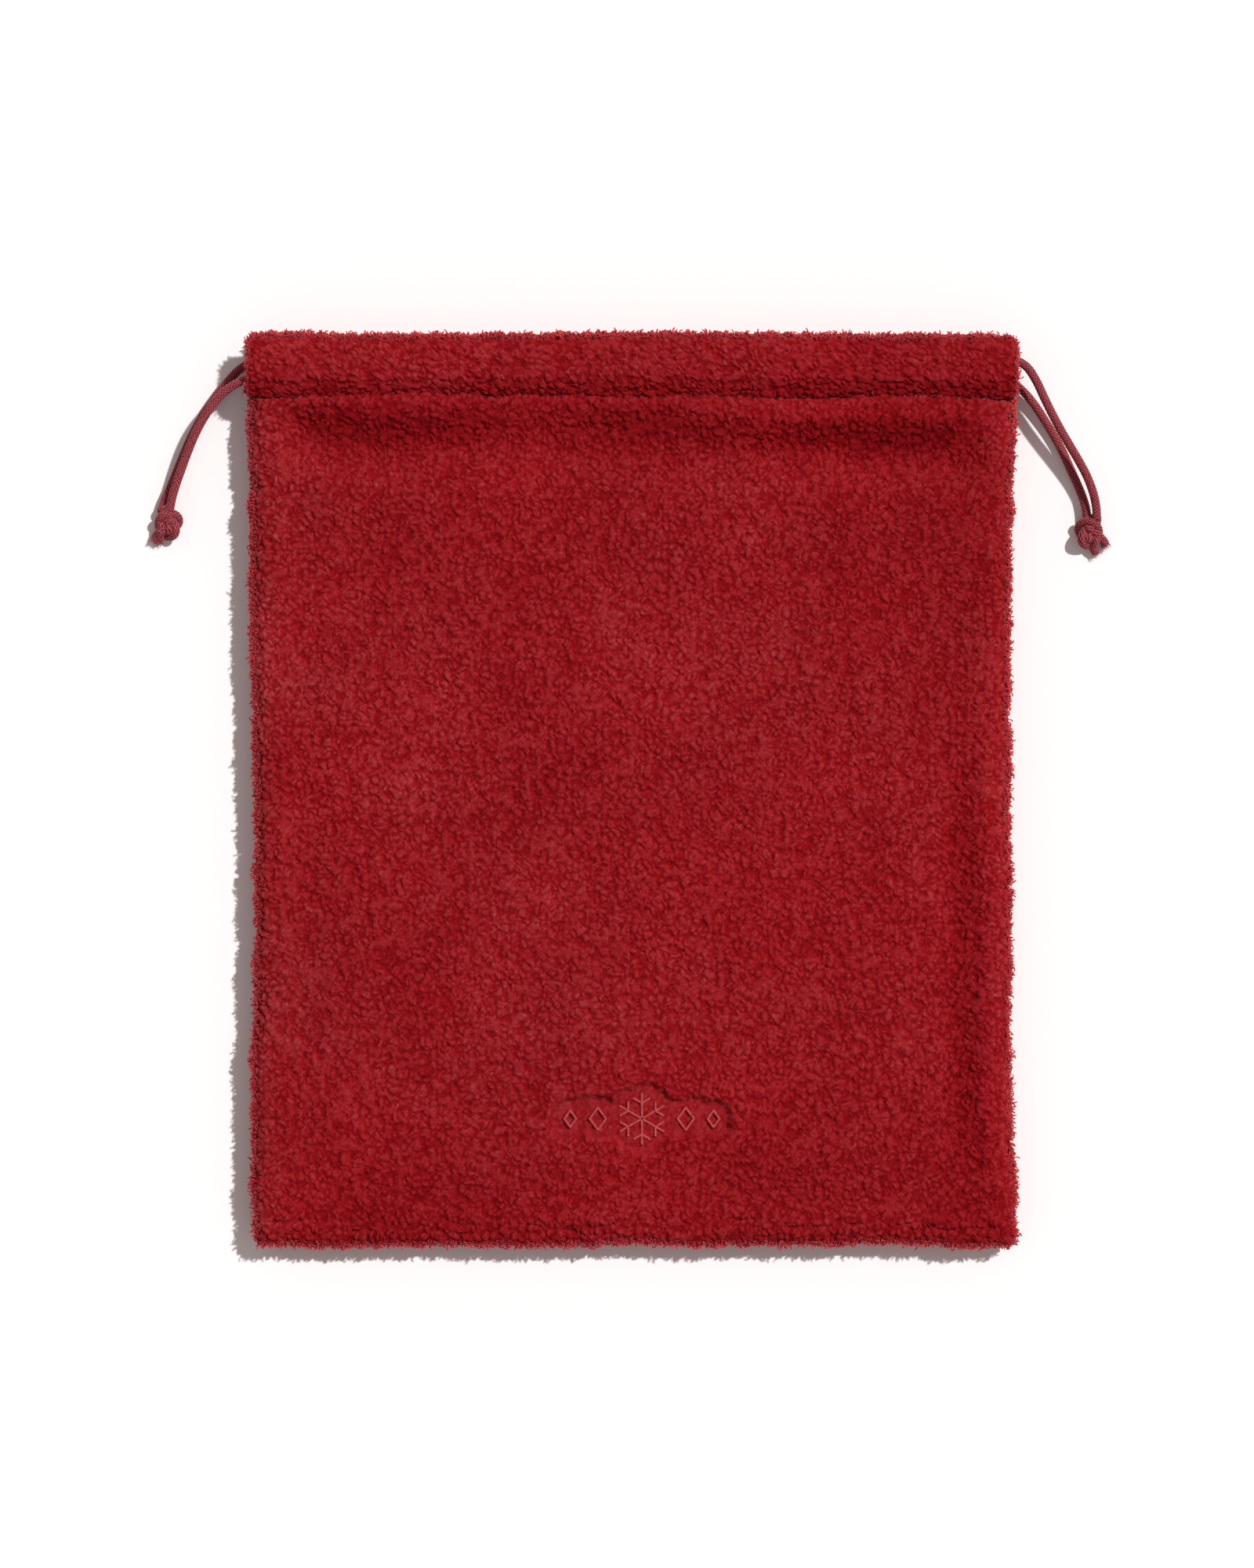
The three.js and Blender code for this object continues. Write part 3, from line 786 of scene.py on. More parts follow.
def fold_line(x, y):
    """The wavy line, below the casing's stitching, that the front's first fold follows, and how deep the fold is."""
    flat = on_plane(x, y)
    across = flat * [1, 0, 0]
    line = 145.5 - 5.5 * eased((x - 5.0) / 55.0) + 3.2 * soft_noise(across, 50.0, 61) + 1.2 * soft_noise(flat, 23.0, 62)
    depth = 0.7 + 0.45 * soft_noise(across, 44.0, 63) + 0.55 * eased((x - 15.0) / 50.0)
    depth = depth + 0.35 * eased((-x - 40.0) / 40.0)
    return line, depth


def low_right_band(x, y):
    return eased((x - 90.0) / 20.0) * eased((35.0 - y) / 60.0) * eased((y + 165.0) / 40.0)


def painted_shade_and_patches(x, y):
    """How much darker the pile is painted on the front: painted shade in the fold below the casing, in a band beside
    the right edge and towards the bottom and the right, and broad random patches.
    """
    flat = on_plane(x, y)
    line, depth = fold_line(x, y)
    inward = eased((edge_reach(x, y) - np.abs(x) - 4.0) / 26.0)
    # Painted shade in the fold below the casing's stitching.
    fold = 0.14 * depth * inward * np.exp(-(((y - line + 1.0) / 8.5) ** 2))
    # Painted shade in a band beside the right edge, low on the sack.
    column = 0.12 * low_right_band(x, y) * np.exp(-(((x - 131.0 - 3.0 * soft_noise(flat, 40.0, 75)) / 8.0) ** 2))
    patches = 0.04 * soft_noise(flat, 44.0, 76) + 0.025 * soft_noise(flat, 14.0, 77) + 0.025 * soft_noise(flat, 6.0, 78)
    # Painted shade towards the bottom and the right.
    away_from_light = 0.05 * eased((-100.0 - y) / 60.0) + 0.04 * eased((x - 105.0) / 35.0)
    return fold + column + patches + away_from_light


def painted_rim_light(x, y, facing_up):
    """Painted light on up-facing pile near the sack's side edges, most on the left."""
    from_side = np.clip(edge_reach(x, y) - np.abs(x), 0.0, None)
    return (0.07 * np.exp(-from_side / 9.0) + 0.09 * (x < 0) * np.exp(-from_side / 4.0)) * eased(facing_up / 0.8)


def front_height(x, y):
    """The height of the front panel's backing cloth plus its mean pile, before the curls."""
    from_side = edge_reach(x, y) - np.abs(x)
    from_foot = y - BOTTOM
    edge = np.minimum(from_side, from_foot)
    top = FRONT_LOW[2] + CLOTH - PILE_INSET
    swell = PLATEAU * (1.0 - np.exp(-np.clip(edge, 0, None) / 22.0)) - PLATEAU
    rim = 0.45 + 0.3 * soft_noise(on_plane(x, y), 55.0, 60) + low_right_band(x, y)
    ridge = rim * (np.exp(-(((edge - 8.5) / 4.5) ** 2)) - 1.1 * np.exp(-(((edge - 21.0) / 7.0) ** 2)))
    flat = on_plane(x, y)
    across = flat * [1, 0, 0]
    fold_y, depth = fold_line(x, y)
    crest = 2.0 * depth * np.exp(-(((y - fold_y - 7.5) / 7.0) ** 2))
    hollow = 2.8 * depth * np.exp(-(((y - fold_y + 8.5) / 11.0) ** 2))
    fold = crest - hollow
    second = 0.9 * (0.6 + soft_noise(across, 52.0, 64)) * np.exp(-(((y - fold_y + 28.0) / 9.0) ** 2))
    fade = eased((edge - 1.0) / 26.0)
    broad = 0.75 * soft_noise(flat, 62.0, 65) + 0.4 * soft_noise(flat, 25.0, 66)
    foot_line = 0.0
    for rise, deep, salt in ((8.2, 1.0, 67), (5.6, 1.1, 74), (3.4, 0.8, 68)):
        line_y = rise + 2.0 * soft_noise(across, 24.0, salt) + 1.1 * soft_noise(across, 7.0, salt + 20)
        there = eased(0.35 + 1.7 * soft_noise(across, 14.0, salt + 40))
        foot_line = foot_line + deep * there * np.exp(-(((from_foot - line_y) / 0.95) ** 2)) * eased(from_side / 12.0)
    return top + swell + ridge + (fold + second) * fade + broad * (0.4 + 0.6 * fade) - foot_line


def seam_wander(x):
    """How far the casing's stitched crease strays from a straight line."""
    across = on_plane(x, np.zeros_like(x))
    fine = 0.45 * soft_noise(across, 5.0, 95) + 0.2 * soft_noise(across, 2.4, 96)
    return 0.7 * soft_noise(across, 31.0, 69) + 0.35 * soft_noise(across, 11.0, 70) + fine


def panel_grid(columns_half, rows, height, middle_z, top_y):
    """A panel from one side's crease to the other's, and from its casing's stitching down to the bottom crease."""
    start = HALF_WIDTH - EDGE_ROLL
    across_length = start + EDGE_ROLL * LAST_TURN
    foot_length = -BOTTOM - EDGE_ROLL + EDGE_ROLL * LAST_TURN
    head_start = top_y - STITCH_ROLL
    head_length = head_start + STITCH_ROLL * math.pi / 2 + 1.6
    u = np.linspace(-across_length, across_length, 2 * columns_half + 1)
    v = np.linspace(head_length, -foot_length, rows + 1)
    side, side_fall = roll(np.abs(u), start, EDGE_ROLL, LAST_TURN)
    foot, foot_fall = roll(-v, -BOTTOM - EDGE_ROLL, EDGE_ROLL, LAST_TURN)
    head, head_fall = roll(v, head_start, STITCH_ROLL, math.pi / 2)
    x = np.sign(u) * side
    y = np.where(v > 0, head, -foot)
    sink = np.clip(v - head_start - STITCH_ROLL * math.pi / 2, 0, None)
    grid_x, grid_y = np.meshgrid(x, y)
    reach = edge_reach(grid_x, grid_y)
    grid_x = grid_x * (1.0 + (reach / HALF_WIDTH - 1.0) * eased(np.abs(grid_x) / HALF_WIDTH))
    wander = on_plane(grid_x, grid_y)
    lumps = 0.6 * soft_noise(wander * [0, 1, 0], 8.0, 82) + 0.35 * soft_noise(wander * [0, 1, 0], 3.6, 83)
    grid_x = grid_x + np.sign(grid_x) * lumps * eased((np.abs(grid_x) - 142.0) / 6.0)
    foot_lumps = 0.5 * soft_noise(wander * [1, 0, 0], 8.0, 84) + 0.3 * soft_noise(wander * [1, 0, 0], 3.6, 85)
    grid_y = grid_y + foot_lumps * eased((-172.0 - grid_y) / 6.0)
    near_foot = eased((60.0 - (grid_y - BOTTOM)) / 60.0)
    grid_y = grid_y + eased((grid_y - 120.0) / 30.0) * seam_wander(grid_x)
    grid_y = grid_y + near_foot * 0.7 * soft_noise(wander * [1, 0, 0], 34.0, 71)
    surface = height(grid_x, grid_y)
    share = (1.0 - side_fall)[None, :] * (1.0 - foot_fall)[:, None]
    head_drop = STITCH_ROLL * head_fall + sink
    sign = np.sign(surface.mean() - middle_z)
    z = middle_z + (surface - middle_z - sign * head_drop[:, None]) * share
    return np.stack([grid_x, grid_y, z], axis=-1), share


def clear_of_stitching(grid, normals):
    """1 where loose pile may stand: away from the casing's stitching, or beside it on the sack's edge."""
    away = np.abs(grid[..., 1] - STITCH_Y) > 6.0
    return np.where(away, 1.0, eased((np.abs(normals[..., 0]) - 0.6) / 0.2))


def with_curls(grid, normals, share, marked):
    """Raise the curls from a smooth grid; the pile is short in the mark, in the creases and on the table."""
    pile_height = CURL_HEIGHT * np.ones(grid.shape[:2])
    pile_height = pile_height * (0.35 + 0.65 * eased(share / 0.2))
    press = np.zeros(grid.shape[:2])
    if marked:
        press = pressed(grid[..., 0], grid[..., 1]) * (grid[..., 2] > SEAM_Z)
        grid = grid - normals * (press * PRESS_DEPTH)[..., None]
        pile_height = pile_height * (1.0 - 0.5 * press)
    relief, tone_with_painted_shade = curl_relief(grid)
    sideways = eased((RIM_TUFTS - np.abs(normals[..., 2])) / RIM_FADE)
    pile_height = pile_height * (1.0 + 0.3 * sideways)
    # Painted shade on the front, less painted light near the side edges.
    painted_light_and_shade = painted_shade_and_patches(grid[..., 0], grid[..., 1]) * (grid[..., 2] > SEAM_Z)
    painted_light_and_shade = painted_light_and_shade - painted_rim_light(grid[..., 0], grid[..., 1], normals[..., 2])
    raised = grid + normals * ((relief - CURL_MIDDLE) * pile_height)[..., None]
    tufted = sideways * eased(share / 0.03) * eased((raised[..., 2] - 2.4) / 1.2) * clear_of_stitching(grid, normals)
    # The pile's colour value: its tone with painted crevice shade, darkened by the painted shade; the mark's pressed
    # pile gets a flatter, a little lighter value, with less painted crevice shade and some painted light.
    return raised, {"curl": (tone_with_painted_shade - painted_light_and_shade) * (1 - 0.4 * press) + 0.33 * press, "pile": tufted}


def lining_of(grid, normals, share, thick):
    depth = thick * (0.12 + 0.88 * eased(share / 0.9))
    return grid - normals * depth[..., None]


def split_panel(name, grid, lining, values, facing, replaced, bands):
    """Cut a panel on its middle line, so that each half can gather with its own side, and into bands along Y."""
    rows, columns = grid.shape[:2]
    middle = columns // 2
    normals = grid_normals(grid)
    if normals[rows // 2, middle, 2] * facing < 0:
        normals = -normals
    made = []
    for side, across in {"left": slice(0, middle + 1), "right": slice(middle, columns)}.items():
        for band in range(bands):
            part = (slice(band * (rows // bands), (band + 1) * (rows // bands) + 1), across)
            here = {title: numbers[part] for title, numbers in values.items()}
            label = f"{name}_{band + 1}_{side}" if bands > 1 else f"{name}_{side}"
            piece = lined_sheet(label, grid[part], lining[part], normals[part], here, facing > 0)
            piece.data.materials.append(pile)
            bend_with_side(piece, replaced)
            made.append(piece)
    return made


FRONT_BANDS = 2
FRONT_THICK = 4.0
BACK_THICK = 3.6


def build_front():
    columns, rows = 276, 612
    smooth, share = panel_grid(columns, rows, front_height, SEAM_Z + 0.05, STITCH_Y + 0.3)
    normals = grid_normals(smooth)
    normals = normals * np.sign(normals[rows // 2, columns, 2])
    lining = lining_of(smooth, normals, share, FRONT_THICK)
    curly, values = with_curls(smooth, normals, share, True)
    creases = {"left": smooth[:, 0], "right": smooth[:, -1], "foot": smooth[-1]}
    return split_panel("front_cloth", curly, lining, values, 1, "front_panel", FRONT_BANDS), creases


def back_height(x, y):
    flat = on_plane(x, y)
    from_side = edge_reach(x, y) - np.abs(x)
    edge = np.clip(np.minimum(from_side, y - BOTTOM), 0, None)
    return PILE_INSET + 0.7 * np.exp(-edge / 6.0) + 0.12 * soft_noise(flat, 30.0, 81)


def build_back():
    columns, rows = 138, 300
    smooth, share = panel_grid(columns, rows, back_height, SEAM_Z - 0.05, STITCH_Y + 0.3)
    normals = grid_normals(smooth)
    normals = -normals * np.sign(normals[rows // 2, columns, 2])
    lining = lining_of(smooth, normals, share, BACK_THICK)
    curly, values = with_curls(smooth, normals, share, False)
    curly[..., 2] = np.maximum(curly[..., 2], 0.12 + 0.2 * values["curl"])
    return split_panel("back_cloth", curly, lining, values, -1, "back_panel", 1)


front_pieces, creases = build_front()
back_pieces = build_back()

# ---------------------------------------------------------------- the two casings

CASING_LIP = 2.5
CASING_RING = 108
CASING_ROWS = 220
CASING_SQUEEZE = 0.86


def casing_section(count):
    """A casing's outline in Y and height above its middle, pinched where the stitching holds it."""
    angle = np.linspace(0, 2 * math.pi, 2000, endpoint=False)
    half_width = (TOP - STITCH_Y) / 2 - 0.2
    middle_y = (TOP + STITCH_Y) / 2 + 0.2
    power = 2 / 2.5
    y = middle_y + half_width * np.sign(np.cos(angle)) * np.abs(np.cos(angle)) ** power
    full = (CREST - MOUTH_HIGH) / 2
    pinch = 0.6 + 0.4 * eased((y - STITCH_Y) / 8.5)
    z = full * pinch * np.sign(np.sin(angle)) * np.abs(np.sin(angle)) ** power
    z = z - 1.1 * (1 - eased((y - STITCH_Y) / 8.5))
    steps = np.hypot(np.diff(y, append=y[0]), np.diff(z, append=z[0]))
    length = np.concatenate([[0], np.cumsum(steps)])
    at = np.linspace(0, length[-1], count, endpoint=False)
    ys = np.interp(at, length, np.append(y, y[0]))
    zs = np.interp(at, length, np.append(z, z[0]))
    return ys, zs, middle_y


def casing_grid(front):
    """Rings from one open end of a casing to the other; each end turns in on itself and runs back into the tunnel."""
    ys, zs, middle_y = casing_section(CASING_RING)
    end = HALF_WIDTH + 0.6 - CASING_LIP
    flat = np.linspace(0, end, CASING_ROWS)
    turn = np.linspace(0, math.pi, 10)[1:]
    inward = end + CASING_LIP * np.sin(turn[-1]) - np.linspace(0, 16, 11)[1:]
    xs = np.concatenate([flat, end + CASING_LIP * np.sin(turn), inward])
    lip = CASING_LIP * (1 - np.cos(turn)) / 2
    shrink = np.concatenate([np.zeros(len(flat)), lip, np.full(len(inward), CASING_LIP)])
    half_ring = []
    for x, inset in zip(xs, shrink):
        scale_y = 1 - inset / ((TOP - STITCH_Y) / 2)
        scale_z = 1 - inset / ((CREST - MOUTH_HIGH) / 2)
        ring = [np.full(CASING_RING, x), middle_y + (ys - middle_y) * scale_y, zs * scale_z]
        half_ring.append(np.stack(ring, axis=-1))
    right = np.array(half_ring)
    left = right[:0:-1] * [-1, 1, 1]
    grid = np.concatenate([left, right])
    x_line = grid * [1, 0, 0]
    lift = 0.5 * soft_noise(x_line, 40.0, 91) + 0.3 * soft_noise(x_line, 17.0, 92)
    wave = 0.75 * soft_noise(x_line, 33.0, 93) + 0.35 * soft_noise(x_line, 13.0, 94)
    outer = eased((grid[..., 1] - STITCH_Y) / 20.0)
    grid[..., 1] += (wave - 0.9) * outer + seam_wander(grid[..., 0]) * (1.0 - outer)
    reach = edge_reach(grid[..., 0], grid[..., 1])
    grid[..., 0] *= 1.0 + (reach / HALF_WIDTH - 1.0) * eased(np.abs(grid[..., 0]) / HALF_WIDTH)
    full = (CREST - MOUTH_HIGH) / 2
    if front:
        grid[..., 2] = MOUTH_HIGH + full + (grid[..., 2] * CASING_SQUEEZE + lift * (grid[..., 2] > 0))
    else:
        grid[..., 2] = full - grid[..., 2] * CASING_SQUEEZE
    return grid, len(flat)


def build_casing(name, front, replaced):
    smooth, flat_count = casing_grid(front)
    normals = grid_normals(smooth, around=True)
    probe = smooth[len(smooth) // 2]
    centre = probe.mean(axis=0)
    outward = np.sign(np.mean(np.sum(normals[len(smooth) // 2] * (probe - centre), axis=-1)))
    normals = normals * outward
    relief, tone_with_painted_shade = curl_relief(smooth)
    hidden = np.clip((np.abs(np.arange(len(smooth)) - len(smooth) // 2) - flat_count - 4) / 6.0, 0, 1)
    height = CURL_HEIGHT * (1.0 - 0.7 * hidden)[:, None]
    curly = smooth + normals * ((relief - CURL_MIDDLE) * height)[..., None]
    curly[..., 2] = np.maximum(curly[..., 2], 0.12 + 0.2 * relief)
    # Painted shade along the front casing's lower side next to its stitching, and darker where the casing runs back
    # into its tunnel.
    painted_low_side_shade = 0.12 * eased((STITCH_Y + 9.0 - smooth[..., 1]) / 8.0) if front else 0.0
    shade = (tone_with_painted_shade - painted_low_side_shade - 0.05 * soft_noise(smooth, 20.0, 79)) * (1.0 - 0.6 * hidden)[:, None]
    sideways = eased((RIM_TUFTS - np.abs(normals[..., 2])) / RIM_FADE) * clear_of_stitching(smooth, normals)
    tufted = (1.0 - hidden)[:, None] * sideways * eased((curly[..., 2] - 2.4) / 1.2)
    fine_normals = grid_normals(curly, around=True) * outward
    middle = len(curly) // 2
    made = []
    for side, part in {"left": slice(0, middle + 1), "right": slice(middle, len(curly))}.items():
        grid = curly[part]
        faces = [tuple(face) for face in grid_quads(len(grid), CASING_RING, around=True).tolist()]
        faces += end_fans(len(grid), CASING_RING)
        ends = np.array([[-1.0, 0, 0], [1.0, 0, 0]])
        piece_normals = np.vstack([fine_normals[part].reshape(-1, 3), ends])
        # The end caps, deep in the tunnel, get the dark value 0.2: painted shade.
        values = {
            "curl": np.concatenate([shade[part].ravel(), [0.2, 0.2]]),
            "pile": np.concatenate([tufted[part].ravel(), [0.0, 0.0]]),
        }
        if outward > 0:
            faces = [face[::-1] for face in faces]
        piece = mesh_object(f"{name}_{side}", with_end_points(grid), faces, piece_normals, values)
        piece.data.materials.append(pile)
        bend_with_side(piece, replaced)
        made.append(piece)
    return made


front_casings = build_casing("front_casing", True, "front_panel")
back_casings = build_casing("back_casing", False, "back_panel")

# ---------------------------------------------------------------- what repeats: tufts and stitches


def rule_tree(name, sizes):
    """An empty Geometry Nodes tree with a named input for each size, and a seed and a material."""
    tree = bpy.data.node_groups.new(name, "GeometryNodeTree")
    face = tree.interface
    face.new_socket("Geometry", in_out="INPUT", socket_type="NodeSocketGeometry")
    for title in sizes:
        face.new_socket(title, in_out="INPUT", socket_type="NodeSocketFloat")
    face.new_socket("Seed", in_out="INPUT", socket_type="NodeSocketInt")
    face.new_socket("Material", in_out="INPUT", socket_type="NodeSocketMaterial")
    face.new_socket("Geometry", in_out="OUTPUT", socket_type="NodeSocketGeometry")
    return tree, new_node(tree, "NodeGroupInput"), new_node(tree, "NodeGroupOutput")


def arithmetic(tree, operation, first, second=None, third=None):
    node = new_node(tree, "ShaderNodeMath", operation=operation)
    for socket, value in zip(node.inputs, (first, second, third)):
        if value is None:
            continue
        if isinstance(value, (int, float)):
            socket.default_value = value
        else:
            link(tree, value, socket)
    return node.outputs[0]


def vector_of(tree, x, y, z):
    node = new_node(tree, "ShaderNodeCombineXYZ")
    for socket, value in zip(node.inputs, (x, y, z)):
        if isinstance(value, (int, float)):
            socket.default_value = value
        else:
            link(tree, value, socket)
    return node.outputs[0]


def random_number(tree, low, high, seed, kind="FLOAT"):
    node = new_node(tree, "FunctionNodeRandomValue", data_type=kind)
    index = {"FLOAT": (2, 3), "FLOAT_VECTOR": (0, 1)}[kind]
    for place, value in zip(index, (low, high)):
        node.inputs[place].default_value = value
    next(socket for socket in node.inputs if socket.name == "Seed").default_value = seed
    return node.outputs[{"FLOAT": 1, "FLOAT_VECTOR": 0}[kind]]


def named_value(tree, title):
    node = new_node(tree, "GeometryNodeInputNamedAttribute", data_type="FLOAT")
    node.inputs["Name"].default_value = title
    return node.outputs["Attribute"]


def keep_value(tree, geometry, title, value):
    node = new_node(tree, "GeometryNodeStoreNamedAttribute", data_type="FLOAT", domain="POINT")
    node.inputs["Name"].default_value = title
    link(tree, geometry, node.inputs["Geometry"])
    link(tree, value, node.inputs["Value"])
    return node.outputs["Geometry"]


def finish_tree(tree, start, end, instances, lit):
    """Make the instances real, keep how light each point looks, and set the tree's material."""
    real = new_node(tree, "GeometryNodeRealizeInstances")
    smooth = new_node(tree, "GeometryNodeSetShadeSmooth")
    coat = new_node(tree, "GeometryNodeSetMaterial")
    link(tree, instances, real.inputs[0])
    link(tree, keep_value(tree, real.outputs[0], "curl", lit), smooth.inputs[0])
    link(tree, smooth.outputs[0], coat.inputs["Geometry"])
    link(tree, start.outputs["Material"], coat.inputs["Material"])
    link(tree, coat.outputs[0], end.inputs[0])


TUFT_SIZES = ("Density", "Length", "Thickness", "Tilt")


def tuft_tree():
    """Small curved locks of pile scattered over a cloth: thick where the cloth's pile value is high."""
    tree, start, end = rule_tree("pile_tufts", TUFT_SIZES)
    length, thick = start.outputs["Length"], start.outputs["Thickness"]
    scatter = new_node(tree, "GeometryNodeDistributePointsOnFaces", distribute_method="RANDOM")
    link(tree, start.outputs["Geometry"], scatter.inputs["Mesh"])
    crowd = arithmetic(tree, "MULTIPLY", start.outputs["Density"], named_value(tree, "pile"))
    link(tree, crowd, scatter.inputs["Density"])
    link(tree, start.outputs["Seed"], scatter.inputs["Seed"])
    spine = new_node(tree, "GeometryNodeCurveQuadraticBezier")
    spine.inputs["Resolution"].default_value = 2
    link(tree, vector_of(tree, 0.0, 0.0, arithmetic(tree, "MULTIPLY", length, -0.35)), spine.inputs["Start"])
    link(tree, vector_of(tree, 0.0, 0.0, arithmetic(tree, "MULTIPLY", length, 0.75)), spine.inputs["Middle"])
    bent = vector_of(tree, arithmetic(tree, "MULTIPLY", length, 0.62), 0.0, arithmetic(tree, "MULTIPLY", length, 0.7))
    link(tree, bent, spine.inputs["End"])
    share = new_node(tree, "GeometryNodeSplineParameter").outputs["Factor"]
    tagged = keep_value(tree, spine.outputs["Curve"], "tip", share)
    taper = new_node(tree, "GeometryNodeSetCurveRadius")
    link(tree, tagged, taper.inputs["Curve"])
    link(tree, arithmetic(tree, "SUBTRACT", 1.0, arithmetic(tree, "MULTIPLY", share, 0.84)), taper.inputs["Radius"])
    ring = new_node(tree, "GeometryNodeCurvePrimitiveCircle", mode="RADIUS")
    ring.inputs["Resolution"].default_value = 3
    link(tree, thick, ring.inputs["Radius"])
    lock = new_node(tree, "GeometryNodeCurveToMesh")
    link(tree, taper.outputs["Curve"], lock.inputs["Curve"])
    link(tree, ring.outputs["Curve"], lock.inputs["Profile Curve"])
    lock.inputs["Fill Caps"].default_value = True
    points = keep_value(tree, scatter.outputs["Points"], "shade", random_number(tree, 0.0, 1.0, 5))
    facing = new_node(tree, "GeometryNodeStoreNamedAttribute", data_type="FLOAT_VECTOR", domain="POINT")
    facing.inputs["Name"].default_value = "facing"
    link(tree, points, facing.inputs["Geometry"])
    link(tree, scatter.outputs["Normal"], facing.inputs["Value"])
    points = facing.outputs["Geometry"]
    lean = new_node(tree, "FunctionNodeEulerToRotation")
    wide = random_number(tree, (-1.0, -1.0, 0.0), (1.0, 1.0, 1.0), 9, "FLOAT_VECTOR")
    scaled = new_node(tree, "ShaderNodeVectorMath", operation="MULTIPLY")
    link(tree, wide, scaled.inputs[0])
    link(tree, vector_of(tree, start.outputs["Tilt"], start.outputs["Tilt"], 2 * math.pi), scaled.inputs[1])
    link(tree, scaled.outputs[0], lean.inputs[0])
    turn = new_node(tree, "FunctionNodeRotateRotation", rotation_space="LOCAL")
    link(tree, scatter.outputs["Rotation"], turn.inputs[0])
    link(tree, lean.outputs[0], turn.inputs[1])
    place = new_node(tree, "GeometryNodeInstanceOnPoints")
    link(tree, points, place.inputs["Points"])
    link(tree, lock.outputs["Mesh"], place.inputs["Instance"])
    link(tree, turn.outputs[0], place.inputs["Rotation"])
    grown = arithmetic(tree, "MULTIPLY_ADD", named_value(tree, "curl"), 0.45, random_number(tree, 0.5, 1.05, 15))
    standing = arithmetic(tree, "MULTIPLY_ADD", named_value(tree, "pile"), 0.7, 0.3)
    link(tree, arithmetic(tree, "MULTIPLY", grown, standing), place.inputs["Scale"])
    # Painted light and shade: each tuft takes the cloth's value with its painted shade, is lighter towards its tip and
    # darker at its root, and gets a random share of its own.
    ground = arithmetic(tree, "MULTIPLY_ADD", named_value(tree, "curl"), 0.4, 0.12)
    lit = arithmetic(tree, "MULTIPLY_ADD", named_value(tree, "tip"), 0.3, ground)
    lit = arithmetic(tree, "MULTIPLY_ADD", named_value(tree, "shade"), 0.4, lit)
    finish_tree(tree, start, end, place.outputs["Instances"], lit)
    return tree


STITCH_SIZES = ("Pitch", "Length", "Thickness", "Arch", "Turn")


def stitch_tree():
    """Arched stitches set one after another along a seam line."""
    tree, start, end = rule_tree("stitches", STITCH_SIZES)
    line = new_node(tree, "GeometryNodeMeshToCurve")
    link(tree, start.outputs["Geometry"], line.inputs["Mesh"])
    steps = new_node(tree, "GeometryNodeCurveToPoints", mode="LENGTH")
    link(tree, line.outputs["Curve"], steps.inputs["Curve"])
    link(tree, start.outputs["Pitch"], steps.inputs["Length"])
    half = arithmetic(tree, "MULTIPLY", start.outputs["Length"], 0.5)
    arch = new_node(tree, "GeometryNodeCurveQuadraticBezier")
    arch.inputs["Resolution"].default_value = 4
    link(tree, vector_of(tree, arithmetic(tree, "MULTIPLY", half, -1.0), 0.0, 0.0), arch.inputs["Start"])
    link(tree, vector_of(tree, 0.0, 0.0, start.outputs["Arch"]), arch.inputs["Middle"])
    link(tree, vector_of(tree, half, 0.0, 0.0), arch.inputs["End"])
    share = new_node(tree, "GeometryNodeSplineParameter").outputs["Factor"]
    swell = arithmetic(tree, "SINE", arithmetic(tree, "MULTIPLY", share, math.pi))
    tagged = keep_value(tree, arch.outputs["Curve"], "tip", swell)
    taper = new_node(tree, "GeometryNodeSetCurveRadius")
    link(tree, tagged, taper.inputs["Curve"])
    link(tree, arithmetic(tree, "MULTIPLY_ADD", swell, 0.35, 0.65), taper.inputs["Radius"])
    ring = new_node(tree, "GeometryNodeCurvePrimitiveCircle", mode="RADIUS")
    ring.inputs["Resolution"].default_value = 6
    link(tree, arithmetic(tree, "MULTIPLY", start.outputs["Thickness"], 0.5), ring.inputs["Radius"])
    thread = new_node(tree, "GeometryNodeCurveToMesh")
    link(tree, taper.outputs["Curve"], thread.inputs["Curve"])
    link(tree, ring.outputs["Curve"], thread.inputs["Profile Curve"])
    thread.inputs["Fill Caps"].default_value = True
    forward = new_node(tree, "FunctionNodeAlignRotationToVector", axis="X")
    link(tree, steps.outputs["Tangent"], forward.inputs["Vector"])
    upright = new_node(tree, "FunctionNodeAlignRotationToVector", axis="Z", pivot_axis="X")
    link(tree, forward.outputs[0], upright.inputs["Rotation"])
    upright.inputs["Vector"].default_value = (0.0, 0.0, 1.0)
    aside = new_node(tree, "FunctionNodeEulerToRotation")
    wobble = random_number(tree, -0.09, 0.09, 25)
    link(tree, vector_of(tree, 0.0, 0.0, arithmetic(tree, "ADD", start.outputs["Turn"], wobble)), aside.inputs[0])
    turn = new_node(tree, "FunctionNodeRotateRotation", rotation_space="LOCAL")
    link(tree, upright.outputs[0], turn.inputs[0])
    link(tree, aside.outputs[0], turn.inputs[1])
    place = new_node(tree, "GeometryNodeInstanceOnPoints")
    points = keep_value(tree, steps.outputs["Points"], "shade", random_number(tree, 0.0, 1.0, 27))
    link(tree, points, place.inputs["Points"])
    link(tree, thread.outputs["Mesh"], place.inputs["Instance"])
    link(tree, turn.outputs[0], place.inputs["Rotation"])
    # Painted light on the top of each stitch's arch, painted shade at its ends where it goes into the cloth.
    lit = arithmetic(tree, "MULTIPLY_ADD", named_value(tree, "tip"), 0.45, 0.25)
    lit = arithmetic(tree, "MULTIPLY_ADD", named_value(tree, "shade"), 0.3, lit)
    finish_tree(tree, start, end, place.outputs["Instances"], lit)
    return tree


